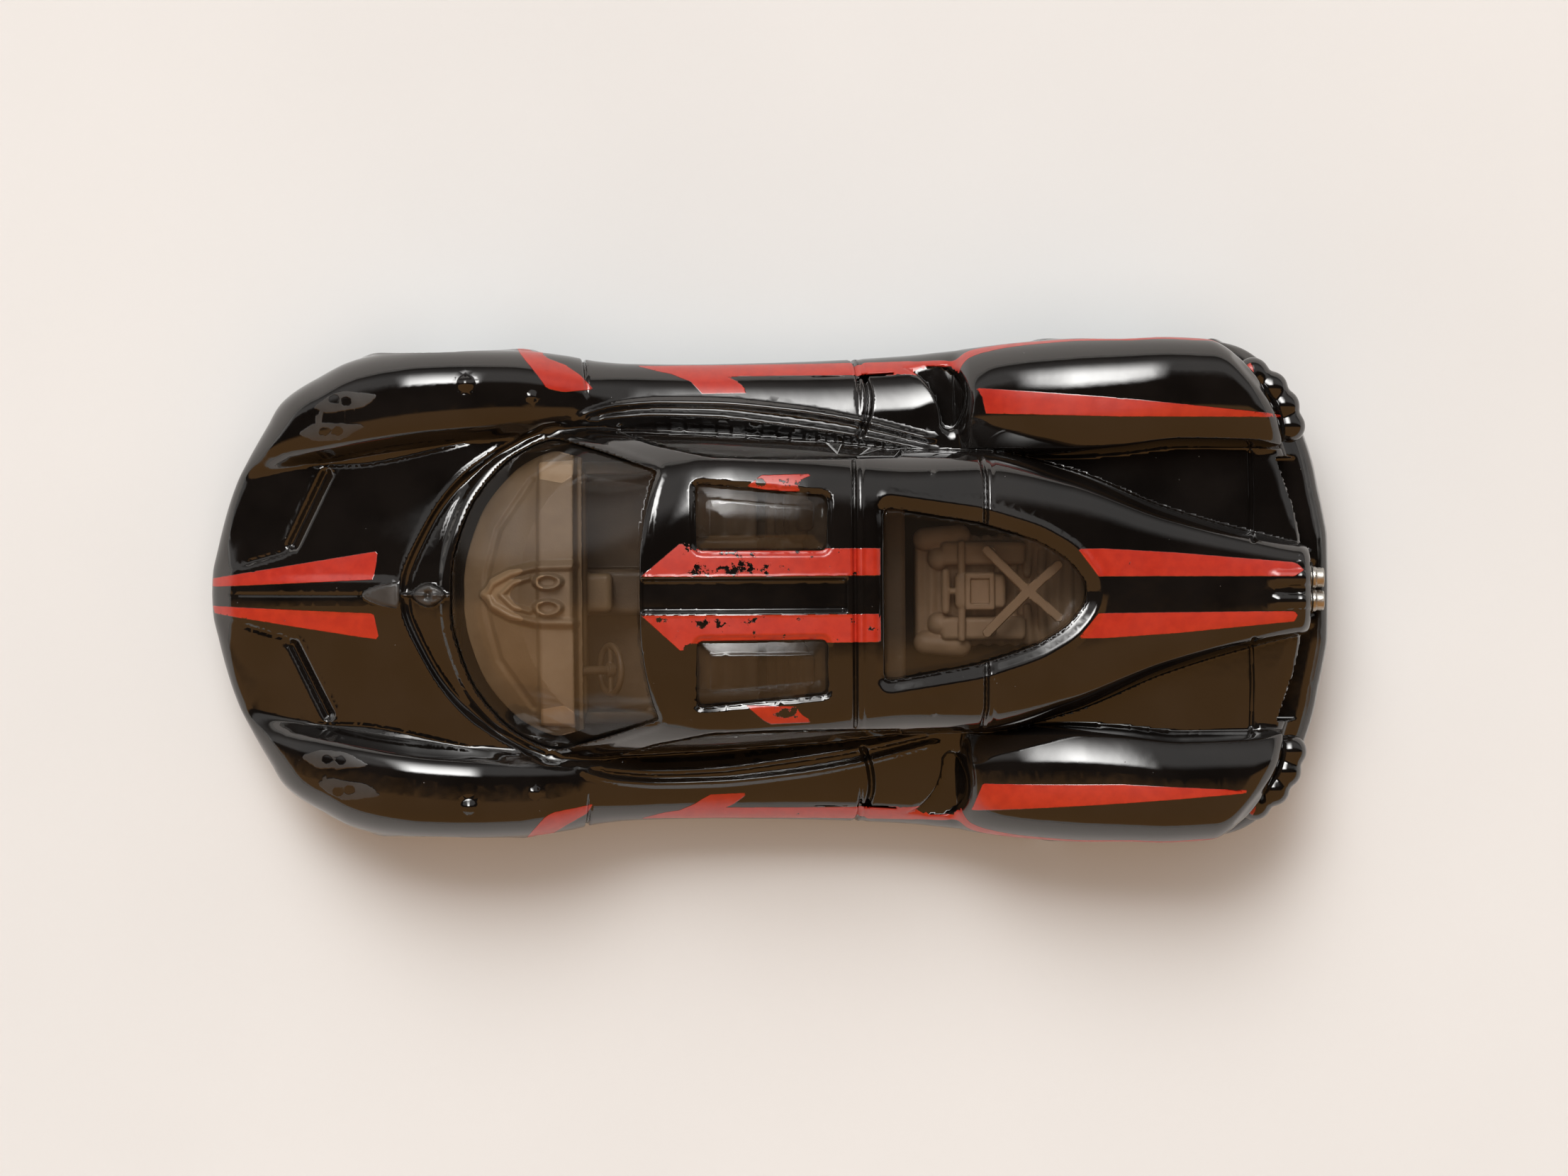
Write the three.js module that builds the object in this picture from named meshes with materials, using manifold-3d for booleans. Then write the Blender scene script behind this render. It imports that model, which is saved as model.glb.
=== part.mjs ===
// A 1:64 diecast sports car, in millimetres. The nose points to -X, the right-hand side is +Y, and +Z is up.
// The origin is on the ground, under the middle of the car's length and width.
import * as THREE from "three";
import { mergeVertices } from "three/addons/utils/BufferGeometryUtils.js";
import Module from "manifold-3d";

const wasm = await Module();
wasm.setup();

// ---- Driving dimensions ----
const HALF_LENGTH = 36;
const ROOF_Z = 18.8;
const SILL_Z = 2.6; // lower edge of the metal body
const BODY_TOP_Z = 24; // any height above the roof
const SKIN = 0.85; // wall thickness of the casting, taken down and inwards together
const SIDE_SKIN = 1.1; // wall thickness of the flanks, nose and tail
const GAP = 0.3; // clearance between neighbouring pieces

const FRONT = { x: -20.5, radius: 5.2, width: 3.6, outerY: 14.9, arch: 6.1 };
const REAR = { x: 23, radius: 5.6, width: 4.2, outerY: 15.4, arch: 6.5 };
const AXLE_R = 0.5;
const AXLE_BORE_R = 0.58;
const RIVETS_X = [-28, 29.6];

// ---- Small mathematics ----
const clamp = (v, lo, hi) => Math.min(hi, Math.max(lo, v));
const smoothstep = (a, b, v) => {
  const t = clamp((v - a) / (b - a), 0, 1);
  return t * t * (3 - 2 * t);
};

// The larger of a and b, with the corner between them rounded over the distance k.
function roundMax(a, b, k) {
  const h = Math.max(k - Math.abs(a - b), 0) / k;
  return Math.max(a, b) + (h * h * h * k) / 6;
}

// A smooth curve through [x, value] points that never overshoots them.
function curve(points) {
  const last = points.length - 1;
  const slope = [];
  for (let i = 0; i < last; i++) {
    const [[x0, v0], [x1, v1]] = [points[i], points[i + 1]];
    slope.push((v1 - v0) / (x1 - x0));
  }
  const tangent = points.map((_, i) => {
    if (i === 0) return slope[0];
    if (i === last) return slope[last - 1];
    const [a, b] = [slope[i - 1], slope[i]];
    return a * b <= 0 ? 0 : (2 * a * b) / (a + b);
  });
  return (x) => {
    const v = clamp(x, points[0][0], points[last][0]);
    let i = 0;
    while (i < last - 1 && v > points[i + 1][0]) i++;
    const width = points[i + 1][0] - points[i][0];
    const t = (v - points[i][0]) / width;
    const [p, q] = [points[i][1], points[i + 1][1]];
    const [m, n] = [tangent[i] * width, tangent[i + 1] * width];
    return p + t * (m + t * (3 * (q - p) - 2 * m - n + t * (2 * (p - q) + m + n)));
  };
}

// ---- The body's styling curves along the car ----
const centreLine = curve([
  [-36.2, 4.9], [-34.5, 6.6], [-31, 8.3], [-27, 9.8], [-23, 11.3], [-20, 12.45], [-18, 13.5],
  [-15, 15.05], [-12, 16.5], [-9, 17.65], [-6, 18.4], [-2.5, ROOF_Z], [1, 18.7], [5, 18.3], [9, 17.6],
  [14, 16.3], [20, 14.8], [26, 13.6], [31, 12.9], [34.5, 12.6], [37, 12.5],
]);
const deckLine = curve([
  [-36.2, 4.8], [-34.5, 6.4], [-31, 8], [-27, 9.4], [-23, 10.7], [-19, 11.5], [-15, 11.5], [-11, 10.9],
  [-6, 10.5], [2, 10.4], [8, 10.4], [13, 10.6], [18, 10.9], [24, 11], [30, 10.9], [37, 10.9],
]);
const canopyHalfWidth = curve([
  [-22, 11.2], [-14, 11], [-9, 10.4], [-3, 10], [3, 9.6], [9, 9], [13.5, 8.9], [19, 7.7], [25, 5.3],
  [30, 3.8], [34, 2.9], [37, 2.7],
]);
const canopySquareness = curve([[-20, 2.7], [-12, 3.2], [-7, 4.2], [-2, 4.7], [8, 4.7], [14, 5], [37, 5]]);
const frontCrestZ = curve([
  [-37, 4.5], [-34, 6.6], [-31.5, 8.6], [-29, 10.4], [-26, 11.9], [-22.5, 12.9], [-19, 13.1],
  [-16, 12.6], [-13, 11.5], [-10, 10], [-6, 8],
]);
const frontCrestY = curve([
  [-36, 7.8], [-33, 9.7], [-30, 10.8], [-26, 11.6], [-21, 12.25], [-16, 12.5], [-6, 12.4],
]);
const rearCrestZ = curve([
  [8, 3], [10.4, 5.5], [11.3, 8], [12, 10.2], [12.8, 11.6], [14.5, 12.7], [17, 13.5], [20, 14.05],
  [24, 14.2], [28, 13.8], [31.5, 12.8], [34, 11.5], [36, 9.8],
]);
const rearCrestY = curve([
  [8, 11.8], [14, 11.65], [18, 11.6], [22, 11.8], [26, 12.2], [30, 12.1], [36, 11.2],
]);
const planHalfWidth = curve([
  [-37, 11.4], [-34, 12], [-31.8, 12.75], [-29, 13.85], [-26.9, 14.85], [-24.5, 15.35], [-20, 15.52],
  [-16, 15.5], [-13, 15.2], [-11, 14.85], [-9, 14.7], [-5, 14.65], [0, 14.75], [5, 14.95], [9, 15.2],
  [12.4, 15.45], [16, 15.8], [20, 16.03], [24, 16.07], [28, 15.9], [31, 15.3], [32.6, 14.5], [34, 13.4],
  [37, 10],
]);
const nosePlan = curve([
  [0, -36.08], [2, -35.9], [4, -35.35], [7.3, -34.25], [10, -33], [12.2, -31.7], [14, -29.8],
  [17, -27],
]);
const tailPlan = curve([
  [0, 36], [3, 35.9], [5, 35.65], [7.7, 35.15], [10.1, 34.6], [13, 33.4], [14.7, 31.9], [17, 29],
]);
// How far the tail stands forward of its rearmost line at each height: a bumper below and a lip above a recess.
const tailStep = curve([
  [2.4, 1], [3.5, 0.4], [5, 0.05], [6.5, 0], [7.6, 0.3], [8.4, 1.2], [9.2, 2.2], [10.6, 2.3],
  [11.4, 1.7], [13, 1.6],
]);

const WRAP = 0.057; // how fast the windscreen sweeps back from the centre line
const CANOPY_FOOT_Z = 8;
const DECK_CROWN = 0.004;
const CREASE = 1.1; // rounding where fender, deck and canopy meet
const SHOULDER = 3.2; // rounding where the top meets the flank
const UPRIGHT_Z = 8; // below this height the flanks lean in towards the sill

const canopyZ = (x, y) => {
  const swept = x - WRAP * (1 - smoothstep(-10, 0, x)) * y * y;
  const share = Math.min(1, Math.abs(y) / canopyHalfWidth(x)) ** canopySquareness(x);
  return CANOPY_FOOT_Z + (centreLine(swept) - CANOPY_FOOT_Z) * (1 - share) ** (1 / canopySquareness(x));
};

// A fender is flat along its crest, drops steeply towards the centre and falls gently towards the flank.
const FENDER_WALL = 0.06;
const FRONT_FENDER = { flat: 0.5, inner: 0.17, outer: 0.11 };
const REAR_FENDER = { flat: 0.35, inner: 0.15, outer: 0.08 };

function fenderZ(crest, offset, { flat, inner, outer }) {
  const reach = clamp(Math.abs(offset) - flat, 0, 6);
  return crest - (offset < 0 ? inner * reach ** 2 + FENDER_WALL * reach ** 4 : outer * reach ** 2);
}

function topZ(x, y) {
  const side = Math.abs(y);
  const deck = deckLine(x) - DECK_CROWN * side * side;
  const front = fenderZ(frontCrestZ(x), side - frontCrestY(x), FRONT_FENDER);
  const rear = fenderZ(rearCrestZ(x), side - rearCrestY(x), REAR_FENDER);
  return roundMax(roundMax(deck, canopyZ(x, y), CREASE), roundMax(front, rear, CREASE), CREASE);
}

// Half the car's width at a height.
const flankY = (x, z) => planHalfWidth(x) - 0.02 * Math.max(0, UPRIGHT_Z - z) ** 2;

// Negative inside the car's outline at that height.
function planDistance(x, y, z) {
  const side = Math.abs(y);
  const nose = nosePlan(side) + 0.12 * Math.max(0, 4.4 - z) ** 2 - x;
  const tail = x - tailPlan(side) + tailStep(z);
  return roundMax(roundMax(side - flankY(x, z), nose, 1), tail, 1);
}

// ---- Geometry helpers ----
function solid(geometry) {
  const bare = new THREE.BufferGeometry();
  const source = geometry.index ? geometry.toNonIndexed() : geometry;
  bare.setAttribute("position", source.getAttribute("position"));
  const merged = mergeVertices(bare, 1e-4);
  return new wasm.Manifold(
    new wasm.Mesh({
      numProp: 3,
      vertProperties: merged.attributes.position.array,
      triVerts: new Uint32Array(merged.index.array),
    }),
  );
}

function geometryOf(made) {
  const mesh = made.getMesh();
  const positions = new Float32Array(mesh.numVert * 3);
  for (let i = 0; i < mesh.numVert; i++)
    positions.set(mesh.vertProperties.subarray(i * mesh.numProp, i * mesh.numProp + 3), i * 3);
  const indexed = new THREE.BufferGeometry();
  indexed.setAttribute("position", new THREE.BufferAttribute(positions, 3));
  indexed.setIndex(new THREE.BufferAttribute(mesh.triVerts, 1));
  const geometry = indexed.toNonIndexed();
  geometry.computeVertexNormals();
  return geometry;
}

const joined = (solids) => solids.reduce((a, b) => a.add(b));

// A closed surface from rows of points: each row is a ring, and the first and last rings are capped by fans.
function ringStack(rings) {
  const count = rings[0].length;
  const points = rings.flat();
  const faces = [];
  for (let r = 0; r + 1 < rings.length; r++)
    for (let i = 0; i < count; i++) {
      const j = (i + 1) % count;
      const [a, b] = [r * count + i, r * count + j];
      faces.push(a, b, b + count, a, b + count, a + count);
    }
  const cap = (ring, outwards) => {
    const middle = ring.reduce((sum, p) => sum.add(p), new THREE.Vector3()).divideScalar(count);
    const base = outwards ? (rings.length - 1) * count : 0;
    points.push(middle);
    for (let i = 0; i < count; i++) {
      const [a, b] = [base + i, base + ((i + 1) % count)];
      faces.push(...(outwards ? [a, b, points.length - 1] : [b, a, points.length - 1]));
    }
  };
  cap(rings[0], false);
  cap(rings[rings.length - 1], true);
  const geometry = new THREE.BufferGeometry().setFromPoints(points);
  geometry.setIndex(faces);
  return geometry;
}

// A block whose top follows height(x, y) over stations xs with rows of points across. Its underside is flat.
function terrain(xs, rowsAt, height, bottom) {
  const [nx, ny] = [xs.length, rowsAt(0).length];
  const points = [];
  for (const level of [height, () => bottom])
    for (const x of xs) for (const y of rowsAt(x)) points.push(new THREE.Vector3(x, y, level(x, y)));
  const at = (layer, i, j) => layer * nx * ny + i * ny + j;
  const faces = [];
  const quad = (a, b, c, d) => faces.push(a, b, c, a, c, d);
  for (let i = 0; i + 1 < nx; i++)
    for (let j = 0; j + 1 < ny; j++) {
      quad(at(0, i, j), at(0, i + 1, j), at(0, i + 1, j + 1), at(0, i, j + 1));
      quad(at(1, i, j), at(1, i, j + 1), at(1, i + 1, j + 1), at(1, i + 1, j));
    }
  for (let i = 0; i + 1 < nx; i++) {
    quad(at(1, i, 0), at(1, i + 1, 0), at(0, i + 1, 0), at(0, i, 0));
    quad(at(0, i, ny - 1), at(0, i + 1, ny - 1), at(1, i + 1, ny - 1), at(1, i, ny - 1));
  }
  for (let j = 0; j + 1 < ny; j++) {
    quad(at(0, 0, j), at(0, 0, j + 1), at(1, 0, j + 1), at(1, 0, j));
    quad(at(1, nx - 1, j), at(1, nx - 1, j + 1), at(0, nx - 1, j + 1), at(0, nx - 1, j));
  }
  const geometry = new THREE.BufferGeometry().setFromPoints(points);
  geometry.setIndex(faces);
  return geometry;
}

const mirrored = (half) => [...half.slice(1).reverse().map((v) => -v), ...half];

function steps(from, to, count) {
  return Array.from({ length: count + 1 }, (_, i) => from + ((to - from) * i) / count);
}

function box(x0, x1, y0, y1, z0, z1) {
  const geometry = new THREE.BoxGeometry(x1 - x0, y1 - y0, z1 - z0);
  return geometry.translate((x0 + x1) / 2, (y0 + y1) / 2, (z0 + z1) / 2);
}

// A cylinder along Y between two values of y.
function barY(x, z, radius, y0, y1, sides = 20) {
  const geometry = new THREE.CylinderGeometry(radius, radius, y1 - y0, sides);
  return geometry.translate(x, (y0 + y1) / 2, z);
}

function barX(y, z, radius, x0, x1, sides = 16) {
  const geometry = new THREE.CylinderGeometry(radius, radius, x1 - x0, sides);
  return geometry.rotateZ(Math.PI / 2).translate((x0 + x1) / 2, y, z);
}

function barZ(x, y, radius, z0, z1, sides = 16) {
  const geometry = new THREE.CylinderGeometry(radius, radius, z1 - z0, sides);
  return geometry.rotateX(Math.PI / 2).translate(x, y, (z0 + z1) / 2);
}

// A plan outline of [x, y] points, extruded upwards.
function prism(outline, z0, z1) {
  const shape = new THREE.Shape(outline.map(([x, y]) => new THREE.Vector2(x, y)));
  return new THREE.ExtrudeGeometry(shape, { depth: z1 - z0, bevelEnabled: false }).translate(0, 0, z0);
}

// A closed outline with each corner cut back and rounded, and grown outwards by a margin.
function softened(corners, radius, margin = 0) {
  const outline = [];
  const count = corners.length;
  const point = (i) => new THREE.Vector2(...corners[(i + count) % count]);
  for (let i = 0; i < count; i++) {
    const here = point(i);
    const [back, ahead] = [point(i - 1).sub(here), point(i + 1).sub(here)];
    const reach = Math.min(radius, back.length() / 2.2, ahead.length() / 2.2);
    const bend = new THREE.QuadraticBezierCurve(
      here.clone().addScaledVector(back.normalize(), reach),
      here,
      here.clone().addScaledVector(ahead.normalize(), reach),
    );
    outline.push(...bend.getPoints(2));
  }
  if (!margin) return outline.map((p) => [p.x, p.y]);
  return outline.map((p, i) => {
    const before = outline[(i + outline.length - 1) % outline.length];
    const after = outline[(i + 1) % outline.length];
    const along = after.clone().sub(before).normalize();
    return [p.x + along.y * margin, p.y - along.x * margin];
  });
}

const mirrorOutline = (half) => [...half, ...half.filter(([, y]) => y > 0).reverse().map(([x, y]) => [x, -y])];
const flipY = (outline) => outline.map(([x, y]) => [x, -y]).reverse();

// ---- Window openings, seen from above, anticlockwise ----
const WINDSCREEN = mirrorOutline([
  [-8, 0], [-7.9, 3.5], [-7.3, 7.45], [-13.4, 9.6], [-16.3, 7.4], [-17.9, 5.2], [-18.9, 2.9], [-19.2, 0],
]);
const ENGINE_GLASS = mirrorOutline([[20.4, 0], [19.2, 1.85], [17.1, 3.15], [13, 4.35], [7, 5.5]]);
const ROOF_PANE = [[3.6, 2.75], [3.6, 6.05], [-4.6, 6.85], [-4.6, 2.75]];
const SIDE_WINDOW = [[5, 9.15], [0, 9.6], [-6.2, 10], [-9.4, 10.2], [-6, 9], [-1, 8.4], [8.8, 8.3]];
const OPENINGS = [
  { corners: WINDSCREEN, radius: 0.8, paned: true },
  { corners: ENGINE_GLASS, radius: 0.7, paned: true },
  { corners: ROOF_PANE, radius: 0.6, paned: true },
  { corners: flipY(ROOF_PANE), radius: 0.6, paned: true },
  { corners: SIDE_WINDOW, radius: 0.3, paned: false },
  { corners: flipY(SIDE_WINDOW), radius: 0.3, paned: false },
];

// The air intake ahead of each rear wheel: a crescent that opens upwards, inside the flank.
const INTAKE = [[11.2, 14.3], [9.2, 14.1], [9.8, 13.5], [10.8, 12], [11, 10.6], [11.8, 10.6], [12.4, 12.2], [12.1, 13.6]];

function openingPrism({ corners, radius }, margin) {
  const outline = softened(corners, radius, margin);
  return solid(prism(outline, CANOPY_FOOT_Z, BODY_TOP_Z));
}

// ---- Body skins ----
const OUTER_X = [
  -36.6, -35.6, -34.6, -33.2, -31.6, ...steps(-29.8, -11.8, 8), ...steps(-9.2, 7.6, 6), 9.4, 10.8, 12, 13.8,
  ...steps(15.8, 29.8, 6), 31.8, 33.4, 34.8, 36.6,
];
const INNER_X = [-36.6, -34, ...steps(-31.4, 32.4, 21), 34.4, 36.6];

// Rows that fan out with the canopy, so that its foot lies along one of them, and then run along the fenders.
function rows(canopyShares, valleyShares, fenderRows, inset) {
  return (x) => {
    const foot = canopyHalfWidth(x) - inset;
    const valley = fenderRows[0] - foot;
    return mirrored([
      ...canopyShares.map((share) => share * foot),
      ...valleyShares.map((share) => foot + share * valley),
      ...fenderRows,
    ]);
  };
}

const FENDER_ROWS = [11.6, 12.6, 13.6, 14.5, 15.3, 17];
const outerRows = rows([0, 0.24, 0.46, 0.64, 0.78, 0.89, 0.96, 1.01], [0.3, 0.65], FENDER_ROWS, 0);
const innerRows = rows([0, 0.4, 0.7, 0.9, 1.05], [0.5], [12, 13.4, 14.6, 17], 1.1);

// The height of the painted surface over a point, with the shoulder rounded but the flank left upright.
function skinZ(x, y) {
  let [low, high] = [SILL_Z - 2, BODY_TOP_Z];
  for (let i = 0; i < 30; i++) {
    const middle = (low + high) / 2;
    const flank = Math.min(planDistance(x, y, middle), -0.1);
    if (roundMax(middle - topZ(x, y), flank, SHOULDER) > 0) high = middle;
    else low = middle;
  }
  return low;
}

// The outer surface moved inwards by a depth: down, and sideways in the four directions.
function sunkenZ(x, y, depth) {
  const around = [[0, 0], [depth, 0], [-depth, 0], [0, depth], [0, -depth]];
  return Math.min(...around.map(([dx, dy]) => topZ(x + dx, y + dy))) - depth;
}

// The car's outline at a height, shrunk by an inset, from rays that fan out from the centre line.
function outlineRing(z, inset, count = 56) {
  const ring = [];
  for (let i = 0; i < count; i++) {
    const angle = (2 * Math.PI * (i + 0.5)) / count;
    const origin = new THREE.Vector2(24 * Math.sign(Math.cos(angle)) * Math.abs(Math.cos(angle)) ** 0.8, 0);
    const ray = new THREE.Vector2(Math.cos(angle) ** 3, Math.sin(angle)).normalize();
    let [near, far] = [0, 40];
    for (let k = 0; k < 34; k++) {
      const middle = (near + far) / 2;
      const outside = planDistance(origin.x + ray.x * middle, origin.y + ray.y * middle, z) + inset > 0;
      if (outside) far = middle;
      else near = middle;
    }
    ring.push(new THREE.Vector3(origin.x + ray.x * near, origin.y + ray.y * near, z));
  }
  return ring;
}

const outlineStack = (levels, inset) =>
  ringStack(levels.map(([z, ringZ]) => outlineRing(ringZ ?? z, inset).map((p) => p.setZ(z))));

const bothWheels = (make) => [FRONT, REAR].flatMap((wheel) => [make(wheel, 1), make(wheel, -1)]);

function wheelArches(inner) {
  return joined(
    bothWheels((wheel, side) => {
      const [y0, y1] = side > 0 ? [inner, 18] : [-18, -inner];
      return solid(barY(wheel.x, wheel.radius, wheel.arch, y0, y1, 24));
    }),
  );
}

const POST_R = 1.5;
const POST_FOOT_Z = 3.5;
const RIVET_BORE_R = 0.85;

function rivetPost(x) {
  const top = sunkenZ(x, 0, SKIN) + 0.4;
  const bore = solid(barZ(x, 0, RIVET_BORE_R, 2, POST_FOOT_Z + 4));
  return solid(barZ(x, 0, POST_R, POST_FOOT_Z, top)).subtract(bore);
}

const EXHAUST = { x0: 32.2, x1: 35.3, radius: 0.62, pitch: 0.73, z: [9.45, 10.9] };

function bodyShell() {
  const levels = [[SILL_Z], [4.4], [6.4], [7.8], [8.6], [9.4], [10.8], [12.4], [BODY_TOP_Z, 13]];
  const outside = solid(terrain(OUTER_X, outerRows, skinZ, 0)).intersect(solid(outlineStack(levels, 0)));
  const inside = solid(terrain(INNER_X, innerRows, (x, y) => sunkenZ(x, y, SKIN), 0)).intersect(
    solid(outlineStack([[0, SILL_Z], [SILL_Z], [5], [7.6], [9.3], [10.6], [BODY_TOP_Z, 12.4]], SIDE_SKIN)),
  );
  const intakes = joined([solid(prism(INTAKE, 5.2, BODY_TOP_Z)), solid(prism(flipY(INTAKE), 5.2, BODY_TOP_Z))]);
  const liners = joined([12.2, -12.2].map((y) => solid(box(8.2, 13, y - 2.4, y + 2.4, 4.4, 11))));
  const pipes = EXHAUST.radius + EXHAUST.pitch + GAP;
  const exhaustMouth = solid(
    box(31.2, 38, -pipes, pipes, EXHAUST.z[0] - EXHAUST.radius - GAP, EXHAUST.z[1] + EXHAUST.radius + GAP),
  );
  const lamps = [[30.7, 13.8], [32.2, 12.5], [33.1, 10.9]].flatMap(([x, y]) =>
    [1, -1].map((side) => solid(new THREE.SphereGeometry(1.1, 8, 5).translate(x, side * y, 9.9))),
  );
  const mirrors = [13.4, -13.4].map((y) => solid(new THREE.SphereGeometry(0.75, 8, 6).translate(-19, y, 12.5)));
  const channel = solid(box(-7.5, 4.9, -1, 1, 18.2, BODY_TOP_Z));
  const shell = outside
    .add(joined([...lamps, ...mirrors]))
    .subtract(inside.subtract(liners))
    .subtract(intakes)
    .subtract(channel)
    .subtract(joined(OPENINGS.map((opening) => openingPrism(opening, 0))))
    .subtract(wheelArches(11))
    .subtract(exhaustMouth);
  return geometryOf(joined([shell, ...RIVETS_X.map(rivetPost)]));
}

const GLASS_SHARES = [0, 0.3, 0.55, 0.75, 0.9, 1];
const glassRows = (x) => mirrored(GLASS_SHARES.map((share) => share * (canopyHalfWidth(x) - 0.4)));

// ---- Glazing: one clear moulding under the roof, with a raised pane in each opening ----
function windowInsert() {
  const xs = INNER_X.filter((x) => x > -21 && x < 22.5);
  const under = solid(terrain(xs, glassRows, (x, y) => sunkenZ(x, y, SKIN + 0.5), 0));
  const hollow = solid(terrain(xs, glassRows, (x, y) => sunkenZ(x, y, SKIN + 1.2), -1));
  const panes = solid(terrain(xs, glassRows, (x, y) => topZ(x, y) - 0.35, 0)).intersect(
    joined(OPENINGS.filter(({ paned }) => paned).map((opening) => openingPrism(opening, -GAP - 0.06))),
  );
  const rim = [
    [20.7, 0], [19.6, 3], [17, 4.6], [12.6, 5.8], [9.6, 8.1], [3, 9.1], [-4, 9.6], [-9, 10], [-13.6, 9.9],
    [-17, 8.2], [-19, 5.6], [-20, 2.8], [-20.3, 0],
  ];
  const skirts = solid(box(-9.4, 9.4, -9.6, 9.6, 9.8, 12));
  const footprint = solid(prism(mirrorOutline(rim), 11.6, BODY_TOP_Z)).add(skirts);
  return geometryOf(under.add(panes).subtract(hollow).intersect(footprint));
}

// ---- Base plate ----
const BASE_Z = 1.5;
const FLANGE_Z = SILL_Z - GAP;
const TRAY_Z = 3.1;
const CRADLE_Y = [8.4, 10.1];

function basePlate() {
  const flange = solid(outlineStack([[BASE_Z, SILL_Z], [FLANGE_Z, SILL_Z]], 0.4));
  const tray = solid(outlineStack([[FLANGE_Z - 0.4, SILL_Z], [TRAY_Z, SILL_Z]], SIDE_SKIN + 0.5));
  const wells = bothWheels((wheel, side) => {
    const [y0, y1] = side > 0 ? [10.5, 18] : [-18, -10.5];
    return solid(box(wheel.x - wheel.arch, wheel.x + wheel.arch, y0, y1, 0, 8));
  });
  const cradles = bothWheels((wheel, side) => {
    const [y0, y1] = side > 0 ? CRADLE_Y : [-CRADLE_Y[1], -CRADLE_Y[0]];
    const block = solid(box(wheel.x - 1.7, wheel.x + 1.7, y0, y1, FLANGE_Z, wheel.radius + 1.3));
    const slot = solid(barY(wheel.x, wheel.radius, AXLE_BORE_R, y0 - 1, y1 + 1));
    const mouth = solid(
      box(wheel.x - AXLE_BORE_R, wheel.x + AXLE_BORE_R, y0 - 1, y1 + 1, wheel.radius, wheel.radius + 3),
    );
    return block.subtract(slot).subtract(mouth);
  });
  const holes = RIVETS_X.map((x) =>
    solid(barZ(x, 0, RIVET_BORE_R, 0, 5)).add(solid(barZ(x, 0, 2.5, 0, BASE_Z + 0.55))),
  );
  const ribs = [-3.4, 0, 3.4].map((y) => solid(box(-13, 14, y - 0.35, y + 0.35, BASE_Z - 0.35, BASE_Z + 0.2)));
  const fins = [-7.5, -4.5, -1.6, 1.6, 4.5, 7.5].map((y) =>
    solid(box(30.6, 34.4, y - 0.25, y + 0.25, BASE_Z - 0.6, BASE_Z + 0.3)),
  );
  const plate = joined([flange, tray]).subtract(joined(wells));
  return geometryOf(plate.add(joined([...cradles, ...ribs, ...fins])).subtract(joined(holes)));
}

// A rivet: a domed head under the base, and a shank up through it into the body's post.
function rivet() {
  const profile = [[0, -0.55], [1, -0.5], [1.7, -0.3], [2.1, 0], [2.1, 0.2], [0.6, 0.2], [0.6, 4.6], [0, 4.6]];
  return new THREE.LatheGeometry(profile.map(([r, z]) => new THREE.Vector2(r, z)), 16);
}

// ---- Running gear ----
function axle(wheel) {
  const end = wheel.outerY + 0.1;
  const head = 0.35;
  const half = [[0, end], [0.45, end - 0.02], [0.85, end - 0.2], [0.85, end - head], [AXLE_R, end - head]];
  const profile = [...half, ...half.map(([r, y]) => [r, -y]).reverse()];
  return new THREE.LatheGeometry(profile.map(([r, y]) => new THREE.Vector2(r, y)).reverse(), 16);
}

const RIM_SHRINK = 1.35; // tyre height
const WHEEL_SIDES = 20;

// The rim is turned about Y, with its outer face towards +Y and y = 0 in the middle of its width.
function rim(wheel) {
  const r = wheel.radius - RIM_SHRINK;
  const w = wheel.width / 2;
  const profile = [
    [AXLE_BORE_R, -w + 0.6], [1.5, -w + 0.6], [1.5, w - 1.7], [r - 0.75, w - 1.4], [r - 0.75, -w + 0.35],
    [r, -w + 0.35], [r, w - 0.3], [r - 0.7, w - 0.75], [1.25, w - 0.9], [1.1, w - 0.6], [AXLE_BORE_R, w - 0.6],
    [AXLE_BORE_R, -w + 0.6],
  ];
  const disc = solid(new THREE.LatheGeometry(profile.map(([x, y]) => new THREE.Vector2(x, y)), WHEEL_SIDES));
  const slots = Array.from({ length: 10 }, (_, i) => {
    const slot = new THREE.Shape();
    slot.moveTo(1.75, -0.22);
    slot.lineTo(r - 0.95, -0.62);
    slot.lineTo(r - 0.95, 0.62);
    slot.lineTo(1.75, 0.22);
    const cut = new THREE.ExtrudeGeometry(slot, { depth: wheel.width, bevelEnabled: false });
    cut.rotateX(Math.PI / 2).rotateY((i * Math.PI) / 5).translate(0, wheel.width, 0);
    return solid(cut);
  });
  return geometryOf(disc.subtract(joined(slots)));
}

function tyre(wheel) {
  const inner = wheel.radius - RIM_SHRINK + 0.08;
  const w = wheel.width / 2;
  const R = wheel.radius;
  const half = [[inner, w - 0.25], [inner + 0.35, w], [R - 0.5, w - 0.05], [R - 0.12, w - 0.35], [R, w - 0.85]];
  const profile = [...half, ...half.map(([r, y]) => [r, -y]).reverse(), half[0]];
  return new THREE.LatheGeometry(profile.reverse().map(([x, y]) => new THREE.Vector2(x, y)), WHEEL_SIDES);
}

// ---- Cabin ----
const FLOOR_Z = 3.5;

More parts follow.
